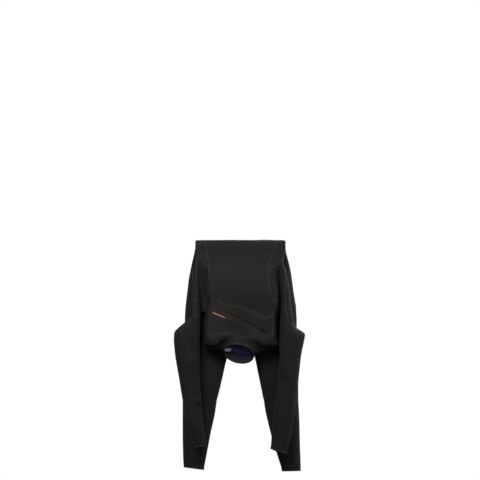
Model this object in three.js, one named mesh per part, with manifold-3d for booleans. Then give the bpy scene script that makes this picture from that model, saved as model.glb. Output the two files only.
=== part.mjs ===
// A full-length chest-zip wetsuit, hung folded at the waist over a round bar.
//
// Millimetres, +Z up. The origin is on the bar's axis at the middle of the suit. The torso hangs upside
// down on the -Y side with its chest facing -Y, and the pelvis and legs hang on the +Y side. The suit is
// a set of tubes. Each tube is a list of rings, and each neoprene panel is a patch of a tube's surface
// with the neoprene's thickness, sewn to its neighbours at a seam.

import * as THREE from 'three';
import { mergeVertices } from 'three/addons/utils/BufferGeometryUtils.js';
import Module from 'manifold-3d';

const wasm = await Module();
wasm.setup();

// The bar and the neoprene
const BAR_RADIUS = 12;
const BAR_CLEARANCE = 1;
const WALL = 4.5;
const SEAM_GAP = 0.4;
const LINING = 1.2;
const LINING_GAP = 2.2;
const FOLD_HALF_DEPTH = 6;
const BAR_FACETS = 7;

// Levels, as drops below the bar's axis
const WAIST_DROP = 30;
const ARMPIT_DROP = 108;
const CHEST_DROP = 205;
const YOKE_DROP = 378;
const SHOULDER_DROP = 428;
const SLEEVE_DROP = 420;
const ELBOW_DROP = 640;
const WRIST_DROP_LEFT = 882;
const WRIST_DROP_RIGHT = 905;
const WRIST_CUFF = 26;
const CROTCH_DROP = 304;
const KNEE_DROP = 690;
const ANKLE_DROP = 984;
const ANKLE_CUFF = 42;

// Widths and depths, each a half of the whole
const WAIST_HALF = 193;
const WAIST_HALF_DEPTH = 7;
const CHEST_HALF = 158;
const CHEST_HALF_DEPTH = 30;
const ARMHOLE_GAP = 15;
const HIP_HALF = 239;
const HIP_HALF_DEPTH = 36;
const SLEEVE_Y = -37;
const LEG_CLEARANCE = 4;

// The collar
const COLLAR_BASE_HALF = 78;
const COLLAR_RIM_HALF = 64;
const COLLAR_RIM_HALF_DEPTH = 27.5;
const COLLAR_DROP = 474;

// The zip and what is sewn on the chest
const ZIP_LENGTH = 180;
const ZIP_ANGLE = -26.9;
const ZIP_END_INSET = 57.5;
const ZIP_END_RISE = 13.56;
const ZIP_TAPE_WIDTH = 12;
const ZIP_TAPE_DEPTH = 2;
const TEETH_WIDTH = 5;
const TEETH_DEPTH = 2;
const TEETH_PITCH = 8;
const SLIDER_LENGTH = 11;
const SLIDER_WIDTH = 9.4;
const SLIDER_ROOF = 1.2;
const RUNNING_GAP = 0.4;
const STOP_LENGTH = 3;
const PULL_LENGTH = 24;
const PULL_WIDTH = 8;
const PULL_DEPTH = 1.6;
const FLAP_SEAM_ANGLE = -19.2;
const FLAP_SEAM_INSET = 40;
const FLAP_SEAM_RISE = 149;
const TAPE_WIDTH = 8;
const TAPE_DEPTH = 0.8;
const HOOK_RADIUS = 20;
const MARK_LENGTH = 60;
const MARK_HEIGHT = 7;
const KNEE_PAD_DEPTH = 2;
const KNEE_PAD_LIFT = 1;

const SEAT_RADIUS = BAR_RADIUS + BAR_CLEARANCE;
const CHEST_Y = -(SEAT_RADIUS + 2 * CHEST_HALF_DEPTH);
const CHEST_ROUND = 0.228 * CHEST_HALF;
const ARMHOLE_HALF = CHEST_HALF + ARMHOLE_GAP;
const SAMPLE = 0.01;
const THIRD = 1 / 3;

const { degToRad, lerp } = THREE.MathUtils;
const suit = new THREE.Group();

// Both lines on the chest are measured from the suit's middle and from the yoke seam.
const ZIP_START = new THREE.Vector2(
  CHEST_HALF - ZIP_END_INSET - ZIP_LENGTH * Math.cos(degToRad(ZIP_ANGLE)),
  ZIP_END_RISE - ZIP_LENGTH * Math.sin(degToRad(ZIP_ANGLE)),
);
const FLAP_SEAM_START = new THREE.Vector2(FLAP_SEAM_INSET - CHEST_HALF, FLAP_SEAM_RISE);
const FLAP_SEAM_LENGTH = 2 * (CHEST_HALF - FLAP_SEAM_INSET) - 1;

const neoprene = { color: 0x1c1b1a, roughness: 0.85, metalness: 0 };
const smoothSkin = { color: 0x141414, roughness: 0.5, metalness: 0 };
const kneeRubber = { color: 0x202022, roughness: 0.7, metalness: 0 };
const purpleLining = { color: 0x3a2f8f, roughness: 0.9, metalness: 0 };
const orangePrint = { color: 0xc8702a, roughness: 0.6, metalness: 0 };
const whiteLabel = { color: 0xe8e8ee, roughness: 0.8, metalness: 0 };
const seamThread = { color: 0x3a3733, roughness: 0.9, metalness: 0 };
const zipNylon = { color: 0x0d0d0e, roughness: 0.4, metalness: 0 };

const count = (low, high) => Array.from({ length: high - low + 1 }, (_, i) => low + i);

/** Adds one named sub-part to the suit. */
function add(name, geometry, finish) {
  const mesh = new THREE.Mesh(geometry, new THREE.MeshStandardMaterial(finish));
  mesh.name = name;
  suit.add(mesh);
  return mesh;
}

/** Keeps only the positions of a geometry and merges the vertices that its faces share. */
function weld(geometry) {
  const bare = geometry.clone();
  bare.deleteAttribute('normal');
  bare.deleteAttribute('uv');
  return mergeVertices(bare, 1e-4);
}

/** Six times the signed volume that a geometry encloses. */
function signedVolume(geometry) {
  const corner = [0, 1, 2].map(() => new THREE.Vector3());
  const position = geometry.getAttribute('position');
  const index = geometry.getIndex();
  let total = 0;
  for (let i = 0; i < index.count; i += 3) {
    corner.forEach((c, k) => c.fromBufferAttribute(position, index.getX(i + k)));
    total += corner[0].dot(corner[1].cross(corner[2]));
  }
  return total;
}

/** Turns a geometry's faces outwards. */
function faceOut(geometry) {
  if (signedVolume(geometry) < 0) {
    const index = geometry.getIndex();
    for (let i = 0; i < index.count; i += 3) {
      const first = index.getX(i);
      index.setX(i, index.getX(i + 1));
      index.setX(i + 1, first);
    }
  }
  return geometry;
}

/** A geometry as a solid for joining and cutting. */
function solid(geometry) {
  const welded = weld(geometry);
  return new wasm.Manifold(new wasm.Mesh({
    numProp: 3,
    vertProperties: new Float32Array(welded.getAttribute('position').array),
    triVerts: new Uint32Array(welded.getIndex().array),
  }));
}

/** A cut or joined solid as a geometry again. */
function fromSolid(body) {
  const { vertProperties, triVerts } = body.getMesh();
  const geometry = new THREE.BufferGeometry();
  geometry.setAttribute('position', new THREE.BufferAttribute(vertProperties, 3));
  geometry.setIndex(new THREE.BufferAttribute(triVerts, 1));
  return geometry;
}

/** One ring of a tube. Its front is the side that the suit's front lies on. */
function ring(x, y, z, half, depth, round, { tilt = 0, rise = 0, fall = 0 } = {}) {
  return { x, y, z, half, depth, round, tilt, rise, fall };
}

/** A tube through a list of rings. v counts the rings, and q runs round them from 0 to 8. */
class Tube {
  constructor(rings) {
    this.rings = rings;
  }

  /** The ring at v, part way between its neighbours. */
  at(v) {
    const low = Math.min(Math.max(Math.floor(v), 0), this.rings.length - 2);
    const share = v - low;
    const [a, b] = [this.rings[low], this.rings[low + 1]];
    const mixed = {};
    for (const key of Object.keys(a)) mixed[key] = lerp(a[key], b[key], share);
    return mixed;
  }

  /** The outline: q 0 to 1 rounds the +X end, 1 to 3 crosses the front, and 5 to 7 the back. */
  outline(q, { half, depth, round }) {
    const turn = ((q % 8) + 8) % 8;
    const side = turn > 4 ? -1 : 1;
    const s = turn > 4 ? 8 - turn : turn;
    const flat = half - round;
    if (s < 1) {
      const angle = (s * Math.PI) / 2;
      return [flat + round * Math.cos(angle), side * depth * Math.sin(angle)];
    }
    if (s <= 3) return [flat * (2 - s), side * depth];
    const angle = ((s - 3) * Math.PI) / 2;
    return [-flat - round * Math.sin(angle), side * depth * Math.cos(angle)];
  }

  point(v, q) {
    const r = this.at(v);
    const [across, out] = this.outline(q, r);
    const lift = (out > 0 ? r.rise : r.fall) * (out / r.depth);
    const tilt = degToRad(r.tilt);
    return new THREE.Vector3(
      r.x + across,
      r.y - out * Math.cos(tilt),
      r.z + out * Math.sin(tilt) + lift,
    );
  }

  centre(v) {
    const r = this.at(v);
    return new THREE.Vector3(r.x, r.y, r.z);
  }

  /** The outward normal. On a level ring at a tube's cut edge it stays level, so the cut is flat. */
  normal(v, q, cutEdge) {
    const here = this.point(v, q);
    const last = this.rings.length - 1;
    const along = new THREE.Vector3();
    if (v < last) along.add(this.point(v + SAMPLE, q).sub(here).normalize());
    if (v > 0) along.add(here.clone().sub(this.point(v - SAMPLE, q)).normalize());
    const round = this.point(v, q + SAMPLE).sub(this.point(v, q - SAMPLE));
    const normal = along.cross(round).normalize();
    const r = this.at(v);
    if (cutEdge && r.rise === 0 && r.fall === 0 && r.tilt % 180 === 0) normal.setZ(0).normalize();
    const outward = here.clone().sub(this.centre(v));
    return normal.dot(outward) < 0 ? normal.negate() : normal;
  }
}

/** Moves a panel's edge point away from its neighbour, by half of the seam's gap. */
function seamShift(tube, rows, columns, i, j) {
  const shift = new THREE.Vector3();
  const here = tube.point(rows[i], columns(rows[i])[j]);
  const last = [rows.length - 1, columns(rows[0]).length - 1];
  const step = (di, dj) => {
    const row = rows[i + di];
    const towards = tube.point(row, columns(row)[j + dj]).sub(here).normalize();
    shift.addScaledVector(towards, SEAM_GAP / 2);
  };
  if (i === 0) step(1, 0);
  if (i === last[0]) step(-1, 0);
  if (j === 0) step(0, 1);
  if (j === last[1]) step(0, -1);
  return shift;
}

/** A panel: the patch of a tube between rows of v and columns of q, wall thick, below its surface. */
function panel(tube, rows, columns, { wall = WALL, below = 0 } = {}) {
  const [m, n] = [rows.length - 1, columns(rows[0]).length - 1];
  const geometry = weld(new THREE.BoxGeometry(1, 1, 1, m, n, 1));
  const position = geometry.getAttribute('position');
  for (let k = 0; k < position.count; k += 1) {
    const i = Math.round((position.getX(k) + 0.5) * m);
    const j = Math.round((position.getY(k) + 0.5) * n);
    const depth = below + (position.getZ(k) > 0 ? 0 : wall);
    const v = rows[i];
    const q = columns(v)[j];
    const p = tube.point(v, q);
    p.add(seamShift(tube, rows, columns, i, j));
    p.addScaledVector(tube.normal(v, q, i === 0 || i === m), -depth);
    position.setXYZ(k, p.x, p.y, p.z);
  }
  return faceOut(geometry);
}

/** A band: a whole turn of a tube between two values of v, wall thick, below its surface. */
function band(tube, low, high, { wall = WALL, below = 0, turns = 24, rows = 1 } = {}) {
  const rise = count(0, rows);
  const profile = [...rise.map((y) => [2, y]), ...rise.reverse().map((y) => [1, y]), [2, 0]];
  const geometry = weld(new THREE.LatheGeometry(profile.map(([x, y]) => new THREE.Vector2(x, y)), turns));
  const position = geometry.getAttribute('position');
  for (let k = 0; k < position.count; k += 1) {
    const angle = Math.atan2(position.getX(k), position.getZ(k));
    const share = position.getY(k) / rows;
    const depth = below + (Math.hypot(position.getX(k), position.getZ(k)) > 1.5 ? 0 : wall);
    const v = lerp(low, high, share);
    const q = (angle / (2 * Math.PI)) * 8;
    const p = tube.point(v, q);
    const end = Math.round(share);
    if (share === end) {
      const towards = tube.point(lerp(low, high, 1 - share), q).sub(p).normalize();
      p.addScaledVector(towards, SEAM_GAP);
    }
    p.addScaledVector(tube.normal(v, q, share === end), -depth);
    position.setXYZ(k, p.x, p.y, p.z);
  }
  return faceOut(geometry);
}

/** Columns round a side seam panel, on the +X side (middle 0) or the -X side (middle 4). */
const sideColumns = (middle, seam) => (v) =>
  [-1, -0.75, -0.4, 0, 0.4, 0.75, 1].map((share) => middle + share * seam(v));

/** Columns across the front (middle 2) or the back (middle 6), between the side seams. */
const flatColumns = (middle, seam) => (v) => [middle - 2 + seam(v), middle, middle + 2 - seam(v)];

/** Columns round the front half (start 0) or the back half (start 4) of a sleeve or leg. */
const halfColumns = (start) => () =>
  [0, THIRD, 2 * THIRD, 1, 3, 3 + THIRD, 3 + 2 * THIRD, 4].map((q) => start + q);

// --- Waist: the flat fold over the bar -------------------------------------------------------------

const WAIST_SEAM = () => 1.2;

function waistTube() {
  const flapRing = (tilt) => {
    const side = tilt === 0 ? -1 : 1;
    const half = tilt === 0 ? WAIST_HALF : WAIST_HALF + 7;
    const x = tilt === 0 ? -1 : 0;
    const y = side * (SEAT_RADIUS + WAIST_HALF_DEPTH);
    return ring(x, y, -WAIST_DROP, half, WAIST_HALF_DEPTH, WAIST_HALF_DEPTH + 2, { tilt });
  };
  const arc = count(0, BAR_FACETS).map((i) => {
    const tilt = (180 * i) / BAR_FACETS;
    const reach = SEAT_RADIUS + FOLD_HALF_DEPTH;
    const y = -reach * Math.cos(degToRad(tilt));
    const z = reach * Math.sin(degToRad(tilt));
    return ring(-2, y, z, WAIST_HALF, FOLD_HALF_DEPTH, FOLD_HALF_DEPTH, { tilt });
  });
  return new Tube([flapRing(0), ...arc, flapRing(180)]);
}

function addWaist() {
  const tube = waistTube();
  const rows = count(0, tube.rings.length - 1);
  add('waist_front_panel', panel(tube, rows, flatColumns(2, WAIST_SEAM)), neoprene);
  add('waist_back_panel', panel(tube, rows, flatColumns(6, WAIST_SEAM)), neoprene);
  add('waist_side_right', panel(tube, rows, sideColumns(0, WAIST_SEAM)), neoprene);
  add('waist_side_left', panel(tube, rows, sideColumns(4, WAIST_SEAM)), neoprene);
}

// --- Torso: the front flap, upside down ------------------------------------------------------------

const TORSO_SEAMS = [1.2, 1.24, 1.14, 1.14, 1.02, 1, 1, 1];
const TORSO_SEAM = (v) => TORSO_SEAMS[v];

/** The front flap's level rings, from the waist down to the shoulder yoke. */
function torsoRings() {
  const level = (drop, x, half, depth, round) =>
    ring(x, -(SEAT_RADIUS + depth), -drop, half, depth, round);
  return [
    level(WAIST_DROP, -1, WAIST_HALF, WAIST_HALF_DEPTH, WAIST_HALF_DEPTH + 2),
    level(ARMPIT_DROP - 10, -1, WAIST_HALF - 3, 16, 22),
    level(ARMPIT_DROP, 0, CHEST_HALF + 12, 17, 24),
    level(lerp(ARMPIT_DROP, CHEST_DROP, 0.43), 4, CHEST_HALF + 10, 24, 30),
    level(CHEST_DROP, 10, CHEST_HALF + 6, CHEST_HALF_DEPTH, CHEST_ROUND),
    level(lerp(CHEST_DROP, YOKE_DROP, 0.27), 12, CHEST_HALF + 4, CHEST_HALF_DEPTH, CHEST_ROUND),
    level(lerp(CHEST_DROP, YOKE_DROP, 0.58), 5, CHEST_HALF, CHEST_HALF_DEPTH, CHEST_ROUND),
    level(YOKE_DROP, 0, CHEST_HALF, CHEST_HALF_DEPTH, CHEST_ROUND),
  ];
}

/** The shoulder yoke's rings, which drop at the back, and the collar's base and rim. */
function yokeRings() {
  const depth = CHEST_HALF_DEPTH;
  const y = -(SEAT_RADIUS + depth);
  const cornerHalf = CHEST_HALF + 7;
  const sag = SHOULDER_DROP - YOKE_DROP;
  const base = COLLAR_DROP - 10;
  const rimY = y - 4;
  const rim = ring(0, rimY, -COLLAR_DROP, COLLAR_RIM_HALF, COLLAR_RIM_HALF_DEPTH, 50, { rise: 43, fall: 43 });
  return [
    ring(0, y, -YOKE_DROP, CHEST_HALF, depth, CHEST_ROUND),
    ring(0, y, -SHOULDER_DROP, cornerHalf, depth, 34, { rise: sag - 10, fall: 6 }),
    ring(0, y, -lerp(SHOULDER_DROP, base, 0.36), cornerHalf - 27, depth, 44, { rise: sag - 4, fall: 16 }),
    ring(0, y, -base, COLLAR_BASE_HALF, depth, 50, { rise: base - YOKE_DROP - 26, fall: 18 }),
    rim,
  ];
}

/** The part of a solid above or below the entry flap's diagonal seam. */
function cutAtFlapSeam(body, keepAbove) {
  const reach = 800;
  const block = new THREE.BoxGeometry(reach, reach, reach);
  block.translate(0, 0, (keepAbove ? -1 : 1) * (reach / 2 - SEAM_GAP / 2));
  block.rotateY(-degToRad(FLAP_SEAM_ANGLE));
  block.translate(FLAP_SEAM_START.x, 0, -YOKE_DROP + FLAP_SEAM_START.y);
  return body.subtract(solid(block));
}

/** Lays a chest piece, drawn flat in X and Z with its depth towards +Y, on the zip's line. */
function placeOnZip(geometry) {
  geometry.rotateY(-degToRad(ZIP_ANGLE));
  geometry.translate(ZIP_START.x, 0, -YOKE_DROP + ZIP_START.y);
  return geometry;
}

/** A flat outline in X and Z, extruded towards -Y from its back plane. */
function plate(shape, back, depth) {
  const geometry = new THREE.ExtrudeGeometry(shape, { depth, bevelEnabled: false, curveSegments: 8 });
  geometry.rotateX(Math.PI / 2);
  geometry.translate(0, back, 0);
  return geometry;
}

function rectangle(x0, x1, z0, z1) {
  return new THREE.Shape([[x0, z0], [x1, z0], [x1, z1], [x0, z1]].map(([x, z]) => new THREE.Vector2(x, z)));
}

/** A strip of constant width along a curve, as an outline. */
function strip(curve, width, steps) {
  const points = curve.getSpacedPoints(steps);
  const edge = (side) => points.map((p, i) => {
    const t = curve.getTangentAt(i / steps);
    return new THREE.Vector2(p.x - (t.y * side * width) / 2, p.y + (t.x * side * width) / 2);
  });
  return new THREE.Shape([...edge(-1), ...edge(1).reverse()]);
}

function addChestPanels(tube) {
  const rows = count(0, tube.rings.length - 1);
  const whole = solid(panel(tube, rows, flatColumns(2, TORSO_SEAM)));
  const windowShape = rectangle(-4, ZIP_LENGTH + 4, -ZIP_TAPE_WIDTH / 2, ZIP_TAPE_WIDTH / 2);
  const window = placeOnZip(plate(windowShape, CHEST_Y + 2 * WALL, 3 * WALL));
  add('belly_panel', fromSolid(cutAtFlapSeam(whole, true)), neoprene);
  add('chest_flap', fromSolid(cutAtFlapSeam(whole, false).subtract(solid(window))), smoothSkin);
}

function addTorso() {
  const tube = new Tube(torsoRings());
  const rows = count(0, tube.rings.length - 1);
  addChestPanels(tube);
  add('back_panel', panel(tube, rows, flatColumns(6, TORSO_SEAM)), neoprene);
  add('torso_side_right', panel(tube, rows, sideColumns(0, TORSO_SEAM)), neoprene);
  add('torso_side_left', panel(tube, rows, sideColumns(4, TORSO_SEAM)), neoprene);
}

function addYokeAndCollar() {
  const tube = new Tube(yokeRings());
  const half = count(-6, 6).map((i) => i * THIRD);
  add('shoulder_panel_right', panel(tube, count(0, 3), () => half), neoprene);
  add('shoulder_panel_left', panel(tube, count(0, 3), () => half.map((q) => 4 - q)), neoprene);
  add('collar', band(tube, 3, 4, { rows: 3 }), smoothSkin);
  const inside = WALL + LINING_GAP;
  add('neck_lining', band(tube, 3, 4, { wall: LINING, below: inside, rows: 3 }), purpleLining);
  const label = panel(tube, [3.3, 3.65], () => [4.35, 4.6, 4.85], {
    wall: 0.8,
    below: inside + LINING + LINING_GAP,
  });
  add('care_label', label, whiteLabel);
}

// --- Sewn on the chest -----------------------------------------------------------------------------

/** The entry flap's stitched tape: along the diagonal seam, then hooked up at its end. */
function addFlapSeamTape() {
  const path = new THREE.CurvePath();
  const end = new THREE.Vector2(FLAP_SEAM_LENGTH, 0);
  path.add(new THREE.LineCurve(new THREE.Vector2(0, 0), end));
  const hook = new THREE.Path();
  hook.absarc(end.x, HOOK_RADIUS, HOOK_RADIUS, -Math.PI / 2, 0, false);
  path.add(hook.curves[0]);
  const tape = plate(strip(path, TAPE_WIDTH, 24), CHEST_Y - SEAM_GAP, TAPE_DEPTH);
  tape.rotateY(-degToRad(FLAP_SEAM_ANGLE));
  tape.translate(FLAP_SEAM_START.x, 0, -YOKE_DROP + FLAP_SEAM_START.y);
  add('flap_seam_tape', faceOut(weld(tape)), seamThread);
}

/** The chest mark: one plain wave. */
function addChestMark() {
  const points = count(0, 24).map((i) => {
    const share = i / 24;
    const wave = Math.sin(share * 6 * Math.PI) * MARK_HEIGHT;
    return new THREE.Vector2((share - 0.5) * MARK_LENGTH, wave / 2);
  });
  const curve = new THREE.SplineCurve(points);
  const mark = plate(strip(curve, 4, 36), CHEST_Y - SEAM_GAP, TAPE_DEPTH);
  mark.rotateY(-degToRad(FLAP_SEAM_ANGLE));
  mark.translate(FLAP_SEAM_START.x + 30, 0, -YOKE_DROP + FLAP_SEAM_START.y - 79);
  add('chest_mark', faceOut(weld(mark)), orangePrint);
}

// --- Zip -------------------------------------------------------------------------------------------

const TAPE_FRONT = CHEST_Y + 1;
const TEETH_BACK = TAPE_FRONT - SEAM_GAP;
const TEETH_FRONT = TEETH_BACK - TEETH_DEPTH;
const SLIDER_BACK = TAPE_FRONT - RUNNING_GAP;
const SLIDER_FRONT = TEETH_FRONT - RUNNING_GAP - SLIDER_ROOF;
const SLIDER_AT = ZIP_LENGTH - STOP_LENGTH - SLIDER_LENGTH / 2 - 2;
const PULL_RADIUS = 1.2;
const PULL_AXIS_Y = SLIDER_FRONT - PULL_RADIUS - RUNNING_GAP;

/** Places a drawn-flat piece on the zip's line, welded and facing outwards. */
const zipPiece = (geometry) => faceOut(weld(placeOnZip(geometry)));

function addZipTrack() {
  const fit = SEAM_GAP;
  const tapeEdge = ZIP_TAPE_WIDTH / 2 - fit;
  const tape = rectangle(-4 + fit, ZIP_LENGTH + 4 - fit, -tapeEdge, tapeEdge);
  add('zip_tape', zipPiece(plate(tape, TAPE_FRONT + ZIP_TAPE_DEPTH, ZIP_TAPE_DEPTH)), zipNylon);
  const first = STOP_LENGTH + fit;
  const span = ZIP_LENGTH - 2 * first;
  const teeth = Math.round(span / TEETH_PITCH);
  const edge = (side) => count(0, 2 * teeth).map((i) => {
    const notch = i % 2 === 0 ? 0 : 0.6;
    return new THREE.Vector2(first + (span * i) / (2 * teeth), side * (TEETH_WIDTH / 2 - notch));
  });
  const outline = new THREE.Shape([...edge(-1), ...edge(1).reverse()]);
  add('zip_teeth', zipPiece(plate(outline, TEETH_BACK, TEETH_DEPTH)), zipNylon);
  const stop = (x) => rectangle(x, x + STOP_LENGTH, -TEETH_WIDTH / 2, TEETH_WIDTH / 2);
  const stopDepth = TEETH_DEPTH + RUNNING_GAP;
  add('zip_bottom_stop', zipPiece(plate(stop(0), TEETH_BACK, stopDepth)), zipNylon);
  add('zip_top_stop', zipPiece(plate(stop(ZIP_LENGTH - STOP_LENGTH), TEETH_BACK, stopDepth)), zipNylon);
}

/** The slider: a roof with two flanges that straddle the teeth, and two lugs for the pull. */
function addSlider() {
  const [low, high] = [SLIDER_AT - SLIDER_LENGTH / 2, SLIDER_AT + SLIDER_LENGTH / 2];
  const outside = SLIDER_WIDTH / 2;
  const slot = TEETH_WIDTH / 2 + RUNNING_GAP;
  const whole = solid(plate(rectangle(low, high, -outside, outside), SLIDER_BACK, SLIDER_BACK - SLIDER_FRONT));
  const slotDepth = SLIDER_BACK - SLIDER_FRONT - SLIDER_ROOF;
  const channel = plate(rectangle(low - 1, high + 1, -slot, slot), SLIDER_BACK + 1, slotDepth + 1);
  const lugDepth = SLIDER_FRONT - PULL_AXIS_Y + PULL_RADIUS;
  const lug = (side) => {
    const inner = PULL_WIDTH / 2 - 2 + RUNNING_GAP;
    const [z0, z1] = [side * inner, side * (outside - 0.4)].sort((a, b) => a - b);
    const back = SLIDER_FRONT + 0.2;
    return solid(plate(rectangle(high - 2 * PULL_RADIUS - 0.6, high, z0, z1), back, lugDepth + 0.2));
  };
  const body = whole.subtract(solid(channel)).add(lug(-1)).add(lug(1));
  add('zip_slider', faceOut(weld(placeOnZip(fromSolid(body)))), zipNylon);
}

/** The pull: a knuckle between the slider's lugs and a flat tab that lies along the zip's line. */
function addPull() {
  const x = SLIDER_AT + SLIDER_LENGTH / 2 - PULL_RADIUS - 0.3;
  const knuckle = new THREE.CylinderGeometry(PULL_RADIUS, PULL_RADIUS, PULL_WIDTH - 4, 12);
  knuckle.rotateX(Math.PI / 2);
  knuckle.translate(x, PULL_AXIS_Y, 0);
  const neck = rectangle(x, x + 6, -(PULL_WIDTH - 4) / 2, (PULL_WIDTH - 4) / 2);
  const back = PULL_AXIS_Y + PULL_DEPTH / 2;
  const tab = rectangle(x + 4, x + PULL_LENGTH, -PULL_WIDTH / 2, PULL_WIDTH / 2);
  const body = solid(knuckle)
    .add(solid(plate(neck, back, PULL_DEPTH)))
    .add(solid(plate(tab, back, PULL_DEPTH)));
  add('zip_pull', faceOut(weld(placeOnZip(fromSolid(body)))), zipNylon);
}

// --- Sleeves ---------------------------------------------------------------------------------------

/** A limb's rings from rows of [drop, outer edge, inner edge, half depth], hung at y. */
function limbTube(rows, y, tilt) {
  return new Tube(rows.map(([drop, outer, inner, depth]) => {
    const half = Math.abs(outer - inner) / 2;
    return ring((outer + inner) / 2, y, -drop, half, depth, half * 0.9, { tilt });
  }));
}

const sleeveLevel = (share) => lerp(ARMPIT_DROP + 3, SLEEVE_DROP, share);
const upperArm = (share) => lerp(SLEEVE_DROP, ELBOW_DROP, share);

/** The left sleeve: rolled strip, pointed cap, upper sleeve, forearm and cuff, out from the armhole. */
function leftSleeveRows() {
  const cuff = WRIST_DROP_LEFT - WRIST_CUFF;
  return [
    [sleeveLevel(0), 27, 2, 14],
    [sleeveLevel(0.2), 31, 2, 18],
    [sleeveLevel(0.62), 35, 0, 24],
    [sleeveLevel(0.86), 111, -2, 30],
    [SLEEVE_DROP, 108, 0, 31],
    [upperArm(0.28), 100, 2, 31],
    [upperArm(0.68), 84, 1, 30],
    [ELBOW_DROP, 71, -2, 28],
    [lerp(ELBOW_DROP, cuff, 0.45), 52, -10, 25],
    [cuff, 32, -23, 21],
    [WRIST_DROP_LEFT, 30, -26, 20],
  ];
}

/** The right sleeve hangs a little lower and further in. */
function rightSleeveRows() {
  const cuff = WRIST_DROP_RIGHT - WRIST_CUFF;
  return [
    [sleeveLevel(0), 30, 4, 14],
    [sleeveLevel(0.2), 41, 7, 18],
    [sleeveLevel(0.62), 59, 6, 24],
    [sleeveLevel(0.86), 113, -1, 30],
    [SLEEVE_DROP, 109, 0, 31],
    [upperArm(0.28), 97, 0, 31],
    [upperArm(0.68), 88, -5, 30],
    [ELBOW_DROP, 81, -14, 28],
    [lerp(ELBOW_DROP, cuff, 0.45), 66, -28, 25],
    [cuff, 40, -39, 21],
    [WRIST_DROP_RIGHT, 33, -42, 20],
  ];
}

function addSleeve(side, rows) {
  const edge = (out) => (side === 'left' ? -1 : 1) * (ARMHOLE_HALF + out);
  const edges = rows.map(([drop, outer, inner, depth]) => [drop, edge(outer), edge(inner), depth]);
  const tube = limbTube(edges, SLEEVE_Y, 0);
  const halves = (name, low, high, finish) => {
    add(`${name}_front_${side}`, panel(tube, count(low, high), halfColumns(0)), finish);
    add(`${name}_back_${side}`, panel(tube, count(low, high), halfColumns(4)), finish);
  };
  add(`underarm_gusset_${side}`, band(tube, 0, 2, { turns: 16, rows: 2 }), neoprene);
  halves('shoulder_cap', 2, 4, neoprene);
  halves('upper_sleeve', 4, 7, neoprene);
  halves('forearm', 7, 9, neoprene);
  add(`wrist_cuff_${side}`, band(tube, 9, 10), smoothSkin);
}

// --- Pelvis and legs -------------------------------------------------------------------------------

const PELVIS_SEAM = () => 1.2;

function pelvisTube() {
  const level = (drop, x, half, depth, round) =>
    ring(x, SEAT_RADIUS + depth, -drop, half, depth, round, { tilt: 180 });
  return new Tube([
    level(WAIST_DROP, 0, WAIST_HALF + 7, WAIST_HALF_DEPTH, WAIST_HALF_DEPTH + 2),
    level(lerp(WAIST_DROP, CROTCH_DROP, 0.28), 2, lerp(WAIST_HALF + 7, HIP_HALF, 0.41), 20, 28),
    level(lerp(WAIST_DROP, CROTCH_DROP, 0.6), 3, lerp(WAIST_HALF + 7, HIP_HALF, 0.72), 30, 45),
    level(CROTCH_DROP, 6, HIP_HALF, HIP_HALF_DEPTH, 60),
  ]);
}

function addPelvis() {
  const tube = pelvisTube();
  const rows = count(0, 3);
  add('front_hip_panel', panel(tube, rows, flatColumns(2, PELVIS_SEAM)), neoprene);
  add('seat_panel', panel(tube, rows, flatColumns(6, PELVIS_SEAM)), neoprene);
  add('hip_side_right', panel(tube, rows, sideColumns(0, PELVIS_SEAM)), neoprene);
  add('hip_side_left', panel(tube, rows, sideColumns(4, PELVIS_SEAM)), neoprene);
}

const thighLevel = (share) => lerp(CROTCH_DROP, KNEE_DROP, share);
const shinLevel = (share) => lerp(KNEE_DROP, ANKLE_DROP - ANKLE_CUFF, share);

/** The left leg, with its outer edge measured out from the hip's and its inner edge from the middle. */
function leftLegRows() {
  const crotch = 6 - LEG_CLEARANCE / 2;
  return [
    [thighLevel(0), -6, crotch, HIP_HALF_DEPTH],
    [thighLevel(0.25), 1, -24, HIP_HALF_DEPTH],
    [thighLevel(0.5), 5, -55, HIP_HALF_DEPTH],
    [KNEE_DROP, 7, -101, 33],
    [shinLevel(0.25), 7, -109, 33],
    [shinLevel(0.58), 7, -130, 31],
    [ANKLE_DROP - ANKLE_CUFF, 7, -152, 28],
    [ANKLE_DROP, 6, -161, 26],
  ];
}

/** The right leg hangs a little further out. */
function rightLegRows() {
  const crotch = 6 + LEG_CLEARANCE / 2;
  return [
    [thighLevel(0), 6, crotch, HIP_HALF_DEPTH],
    [thighLevel(0.25), 11, 36, HIP_HALF_DEPTH],
    [thighLevel(0.5), 12, 64, HIP_HALF_DEPTH],
    [KNEE_DROP, 17, 104, 33],
    [shinLevel(0.25), 20, 115, 33],
    [shinLevel(0.58), 23, 136, 31],
    [ANKLE_DROP - ANKLE_CUFF, 26, 170, 28],
    [ANKLE_DROP, 27, 184, 26],
  ];
}

function addLeg(side, rows) {
  const edge = (out) => (side === 'left' ? -1 : 1) * (HIP_HALF + out);
  const edges = rows.map(([drop, outer, inner, depth]) => [drop, edge(outer), inner, depth]);
  const tube = limbTube(edges, SEAT_RADIUS + HIP_HALF_DEPTH, 180);
  add(`thigh_front_${side}`, panel(tube, count(0, 3), halfColumns(0)), neoprene);
  add(`thigh_back_${side}`, panel(tube, count(0, 3), halfColumns(4)), neoprene);
  add(`shin_front_${side}`, panel(tube, count(3, 6), halfColumns(0)), neoprene);
  add(`calf_back_${side}`, panel(tube, count(3, 6), halfColumns(4)), neoprene);
  add(`ankle_cuff_${side}`, band(tube, 6, 7), smoothSkin);
  const pad = panel(tube, [3.15, 4, 4.7], () => [THIRD, 2 * THIRD, 1, 3, 3 + THIRD, 3 + 2 * THIRD], {
    wall: KNEE_PAD_DEPTH,
    below: -(KNEE_PAD_DEPTH + KNEE_PAD_LIFT),
  });
  add(`knee_pad_${side}`, pad, kneeRubber);
}

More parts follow.
